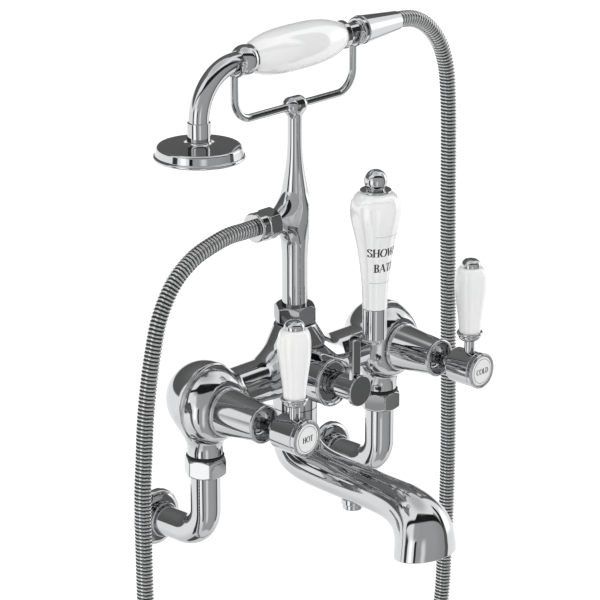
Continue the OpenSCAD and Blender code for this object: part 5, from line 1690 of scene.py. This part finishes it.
@dataclass
class Handset:
    """The hand shower in its cradle: neck, ball ferrule, porcelain grip, rear ferrule, cone nut, collar and rose.

    Stations run to the right along the handset's axis, and heights of the rose from the valve axis.
    """

    frame: Frame
    height: float = 274.0
    grip_half: float = 51.0
    end_r: float = 11.5
    mid_r: float = 19.0
    neck_r: float = 8.15
    bend: float = 40.0
    neck_start: float = -68.0
    neck_end: float = -56.0
    ball_r: float = 12.4
    ball_at: float = -56.5
    ring_r: float = 11.5
    rear_ring: float = 6.0
    rear_collar: float = 72.5
    nut_seat: float = 77.0
    nipple_end: float = 87.0
    cone_end: float = 121.0
    collar_r: float = 11.4
    nut_r: float = 12.2
    mouth_r: float = 7.4
    rose_x: float = -108.0
    rose_top: float = 219.0
    rose_rim: float = 205.0
    rose_r: float = 36.25
    rose_wall: float = 2.0
    rose_collar_r: float = 9.2
    rose_collar_len: float = 15.0

    def neck(self) -> Shell:
        """Bent tube from the ball to the rose's collar."""
        a = np.radians(np.linspace(0, 90, 49))
        line = np.vstack([
            [[self.neck_end, 0]],
            np.stack([self.neck_start - self.bend * np.sin(a), -self.bend * (1 - np.cos(a))], 1),
            [[self.rose_x, self.rose_top + 4.5 - self.height]]])
        dense = np.vstack([np.linspace(p, q, 4, endpoint=False) for p, q in zip(line[:-1], line[1:])] + [line[-1:]])
        spine = Spine(np.stack([dense[:, 0], np.full(len(dense), -VALVE_REACH), dense[:, 1] + VALVE_HEIGHT + self.height], 1),
                      np.array([0.0, 1.0, 0.0]))
        end = spine.length()
        return carried(spine, np.array([(0, 0), *[(self.neck_r, s) for s in np.linspace(0, end, 160)], (0, end)]), sides=96)

    def ball(self) -> Array:
        """Ball, a fine groove and a rounded ring against the porcelain."""
        r, m, left = self.ball_r, self.ball_at, -self.grip_half
        dip, lap = (math.degrees(math.acos((self.neck_r + 0.6) / r)), math.degrees(math.acos(self.ring_r / r)) - 4)
        return rounded([(0, m - r * math.sin(math.radians(dip)) - 0.01), (self.neck_r + 0.5, m - r * math.sin(math.radians(dip)), 0.3),
                        *arc(0, m, r, -dip, lap, 28), (self.ring_r - 0.8, left - 3.4, 0.3), (self.ring_r + 0.5, left - 2.8, 0.8),
                        (self.ring_r + 0.5, left, 0.8), (0, left)])

    def grip(self) -> Array:
        """Porcelain barrel, full at its middle."""
        h, e, m = self.grip_half, self.end_r, self.mid_r
        return rounded([
            (5.6, -h, 0.3), *bezier((e, -h), (e + 7, -h + 16), (m, -18), (m, 0), 44, 0.5),
            *bezier((m, 0), (m, 18), (e + 7, h - 16), (e, h), 44, 0.5)[1:], (5.6, h, 0.3)], True)

    def rear(self) -> Array:
        """Ring against the porcelain, waist for the fork, rounded collar and the threaded nipple."""
        h, c = self.grip_half, self.rear_collar
        return rounded([
            (0, h), (self.end_r + 0.4, h, 0.5), (self.end_r + 0.4, h + self.rear_ring - 0.6, 0.7), (self.neck_r, h + self.rear_ring + 1, 0.8),
            (self.neck_r, c, 0.8), (self.collar_r, c, 1.9), (self.collar_r, self.nut_seat, 0.3), (10.4, self.nut_seat, 0.2),
            (10.4, self.nipple_end, 0.3), (0, self.nipple_end)])

    def cone(self) -> Array:
        """Long nut that narrows to the hose."""
        n, e, inner = self.nut_seat, self.cone_end, self.nipple_end + 2.7
        return rounded([
            (10.5, n, 0.2), (self.nut_r, n, 0.8), (8.2, e, 0.7), (self.mouth_r, e, 0.3),
            (self.mouth_r, inner, 0.2), (10.5, inner, 0.2)], True)

    def sleeve(self) -> Array:
        """Collar that joins neck and rose."""
        r, t = self.rose_collar_r, self.rose_top
        return rounded([(0, t), (r, t, 0.5), (r, t + self.rose_collar_len, 0.7), (self.neck_r, t + self.rose_collar_len, 0.2),
                        (self.neck_r, t + 6, 0.2), (0, t + 6)])

    def rose(self) -> Array:
        """Shallow round rose: rolled rim, upright wall, soft shoulder and a small sweep up to the collar."""
        rim, r, bead = self.rose_rim, self.rose_r, 1.5
        s, z = r - 2.4, self.rose_top - 3.5
        inner, c = s - self.rose_wall, self.rose_collar_r
        return rounded([
            (inner, rim, 0.3), *arc(r - bead, rim + bead, bead, -90, 90, 12), (s + 0.6, rim + 2 * bead + 0.4, 0.5),
            *arc(s - 2.5, z - 2.5, 2.5, 0, 80, 12), *bezier((c + 7, z + 0.8), (c + 2, z + 1.2), (c + 1, z + 1.8), (c + 0.4, self.rose_top), 16),
            (6.0, self.rose_top, 0.2), (4.5, z - self.rose_wall - 0.5, 0.3), (inner - 2, z - self.rose_wall - 1.5, 0.5),
            (inner, z - self.rose_wall - 4, 0.5)], True)

    def build(self) -> None:
        """Builds the hand shower."""
        axis = Spine.straight((0, -VALVE_REACH, VALVE_HEIGHT + self.height), Axis.RIGHT)
        post = Spine.straight((self.rose_x, -VALVE_REACH, VALVE_HEIGHT), Axis.UP)
        stand_in = self.frame.stand_in
        stand_in("handset_neck", self.neck(), CHROME)
        stand_in("ball_ferrule", carried(axis, self.ball()), CHROME)
        stand_in("handset_grip", carried(axis, self.grip(), True, 160), PORCELAIN)
        stand_in("rear_ferrule", carried(axis, self.rear()), CHROME)
        stand_in("cone_nut", carried(axis, self.cone(), True), CHROME)
        stand_in("rose_collar", carried(post, self.sleeve()), CHROME)
        stand_in("rose_shell", carried(post, self.rose(), True, 160), CHROME)
        self.frame.paint(CHROME, "spray_plate")


@dataclass
class Workings:
    """The pieces inside that turn, seal and carry the water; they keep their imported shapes."""

    frame: Frame

    def build(self) -> None:
        """Paints the pieces inside."""
        brass = [f"{word}_{side}" for word in ("spindle", "hub_screw") for side in ("left", "right")]
        self.frame.paint(BRASS, *brass, "outlet_tail", "handset_tail", "grip_liner")
        self.frame.paint(CHROME, "cartridge_left", "cartridge_right", "diverter_cartridge")
        self.frame.paint(CERAMIC, "fixed_discs", "turning_disc_left", "turning_disc_right", "diverter_seat", "diverter_disc")
        self.frame.paint(FIBRE, "fibre_washers")


# ---------------------------------------------------------------- studio


@dataclass
class Studio:
    """White studio: the camera, a pale floor and a world of soft boxes, with a grey ceiling and wall."""

    camera_at: Point = (-1.7146, -1.6794, 0.9808)
    looks_along: Point = (0.6892, 0.6486, -0.3231)
    lens: float = 183.16
    floor_height: float = -0.40

    def camera(self) -> None:
        """Makes the camera at the photograph's place."""
        from mathutils import Vector

        data = bpy.data.cameras.new("camera")
        data.lens, data.sensor_width, data.clip_end = self.lens, 36.0, 50.0
        made = bpy.data.objects.new("camera", data)
        made.location = self.camera_at
        made.rotation_mode = "QUATERNION"
        made.rotation_quaternion = Vector(self.looks_along).to_track_quat("-Z", "Y")
        bpy.context.scene.collection.objects.link(made)
        bpy.context.scene.camera = made

    def floor(self) -> None:
        """Lays a pale floor that is white to the camera and keeps the shadow; mirrors, and a view from below, pass it."""
        a = np.linspace(-6, 6, 2) / MM
        x, y = np.meshgrid(a, a, indexing="ij")
        points = np.stack([x.ravel(), y.ravel(), np.full(4, self.floor_height / MM)], 1)
        shell = Shell(points, np.tile([0.0, 0.0, 1.0], (4, 1)), np.array([[0, 2, 3, 1]]), np.zeros((0, 3), int)).outward()
        made = shell.to_object("floor")
        material = bpy.data.materials.new("pale_floor")
        material.use_nodes = True
        graph = Graph(material.node_tree)
        seen = graph.node("ShaderNodeLightPath", output="Is Camera Ray")
        mirrored = graph.node("ShaderNodeLightPath", output="Is Glossy Ray")
        diffuse = graph.node("ShaderNodeBsdfDiffuse", None, {"Color": (0.86, 0.86, 0.86, 1.0)})
        glow = graph.node("ShaderNodeEmission", None, {"Color": (0.3, 0.3, 0.3, 1.0), "Strength": seen})
        both = graph.node("ShaderNodeAddShader", None, {0: diffuse, 1: glow})
        clear = graph.node("ShaderNodeBsdfTransparent")
        below = graph.node("ShaderNodeNewGeometry", output="Backfacing")
        both = graph.node("ShaderNodeMixShader", None, {0: mirrored.at_least(below), 1: both, 2: clear})
        out = material.node_tree.nodes.new("ShaderNodeOutputMaterial")
        material.node_tree.links.new(both.socket, out.inputs["Surface"])
        made.data.materials.append(material)
        made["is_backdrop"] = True

    def world(self) -> None:
        """Lights the scene evenly with white, and shows polished metal the panels of the studio."""
        world = bpy.data.worlds.new("studio")
        world.use_nodes = True
        bpy.context.scene.world = world
        graph = Graph(world.node_tree)
        where = graph.node("ShaderNodeTexCoord", output="Generated")
        x, y, z = (graph.node("ShaderNodeSeparateXYZ", None, {0: where}, k) for k in range(3))
        across, ahead = 0.6853 * x - 0.7283 * y, -0.7283 * x - 0.6853 * y
        turn = graph.node("ShaderNodeMath", {"operation": "ARCTAN2"}, {0: across, 1: ahead}) * 57.29578
        back = graph.node("ShaderNodeMath", {"operation": "ARCTAN2"}, {0: 0.0 - across, 1: 0.0 - ahead}) * 57.29578
        up = graph.node("ShaderNodeMath", {"operation": "ARCSINE"}, {0: z}) * 57.29578
        mirrored = graph.node("ShaderNodeLightPath", output="Is Glossy Ray")
        bounces = graph.node("ShaderNodeLightPath", output="Glossy Depth")
        seen = self.radiance(turn, back, up)
        seen = self.painted(1.06 * seen**1.15, bounces.ramp(1.0, 2.0), 0.85 * seen**1.6)
        strength = self.painted(0.0 * up + 1.0, mirrored, seen)
        light = graph.node("ShaderNodeBackground", None, {"Color": (1.0, 1.0, 1.0, 1.0), "Strength": strength})
        out = world.node_tree.nodes.new("ShaderNodeOutputWorld")
        world.node_tree.links.new(light.socket, out.inputs["Surface"])

    @staticmethod
    def inside(value: Wire, low: float, high: float, soft: float) -> Wire:
        """1 where a value lies between two limits, with soft edges."""
        return value.ramp(low - soft, low + soft) * (1 - value.ramp(high - soft, high + soft))

    @staticmethod
    def painted(light: Wire, mask: Wire, level: Wire | float) -> Wire:
        """The light with another level laid over it where a mask is 1."""
        return light + mask * (level - light)

    def radiance(self, turn: Wire, back: Wire, up: Wire) -> Wire:
        """Brightness of the studio towards a direction, in degrees as seen from the mixer.

        White cards stand at the sides and a grey wall ahead, with a soft glow on it. A black arch hangs
        over the wall, a dark cloth behind the mixer, and narrow dark flags stand between the cards.

        Args:
            turn: to the right of the camera.
            back: the same, from straight behind.
            up: above the horizon.

        Returns:
            The brightness.
        """
        inside, painted = self.inside, self.painted
        light = 1.0 - 0.22 * (1 - up.ramp(-60.0, -25.0))
        wall = inside(up, -66.0, 44.0, 3.0) * inside(turn, -16.0, 92.0, 1.5)
        light = painted(light, wall, 0.47 - 0.07 * turn.ramp(50.0, 90.0))
        glow = inside(up, -44.0, 4.0, 10.0) * inside(turn, 6.0, 20.0, 6.0)
        light = light + 0.45 * glow
        light = painted(light, inside(up, -52.0, 8.0, 5.0) * inside(turn, -71.0, -56.0, 2.5), 0.07)
        light = painted(light, inside(up, -38.0, 8.0, 4.0) * inside(turn, -24.0, -15.0, 1.5), 0.03)
        light = painted(light, inside(up, 9.0, 44.0, 4.0) * inside(turn, -34.0, -12.0, 6.0), 0.48)
        light = light + 0.4 * inside(up, -25.0, 8.0, 6.0) * inside(turn, -47.0, -33.0, 4.0)
        light = light + 0.5 * inside(up, -6.0, 22.0, 6.0) * inside(turn, 99.0, 132.0, 6.0)
        light = painted(light, inside(up, 6.0, 63.0, 2.5) * inside(back, -38.0, 98.0, 3.0), 0.155 + 0.06 * up.ramp(20.0, 60.0))
        light = painted(light, inside(up, -90.0, -63.0, 3.0) * inside(turn, -140.0, -60.0, 8.0), 0.12)
        edge = 95.5 + 0.022 * (up.at_least(0.0) ** 1.75)
        light = painted(light, (1 - (turn - edge).size().ramp(5.0, 8.0)) * inside(up, -40.0, 46.0, 4.0), 0.16 - 0.12 * up.ramp(0.0, 15.0))
        share = (turn - 10.0) * (1 / 81.0)
        inner = 41.0 * ((1 - share * share).at_least(0.0) ** 0.5)
        thick = 8.0 + 14.0 * inside(turn, -28.0, 88.0, 8.0)
        arch = (up - inner).ramp(-2.0, 2.0) * (1 - (up - inner - thick).ramp(-2.0, 2.0)) * inside(turn, -70.0, 90.0, 3.0)
        light = painted(light, arch, 0.025)
        return painted(light, up.ramp(54.0, 82.0), 0.66)

    def build(self) -> None:
        """Makes the camera, the floor and the light."""
        self.camera()
        self.floor()
        self.world()
        bpy.context.scene.view_settings.view_transform = "Standard"


def main() -> None:
    """Builds the mixer's pieces in order."""
    logging.basicConfig(level=logging.INFO, format="%(message)s")
    for thing in list(bpy.data.objects):
        bpy.data.objects.remove(thing)
    frame = Frame()
    Studio().build()
    ShowerHose(frame).build()
    WallInlets(frame).build()
    CastBody(frame).build()
    BathSpout(frame).build()
    QuarterLever(frame, Side.LEFT, "HOT").build()
    QuarterLever(frame, Side.RIGHT, "COLD").build()
    Diverter(frame).build()
    Riser(frame).build()
    Handset(frame).build()
    Workings(frame).build()


if __name__ == "__main__":
    main()
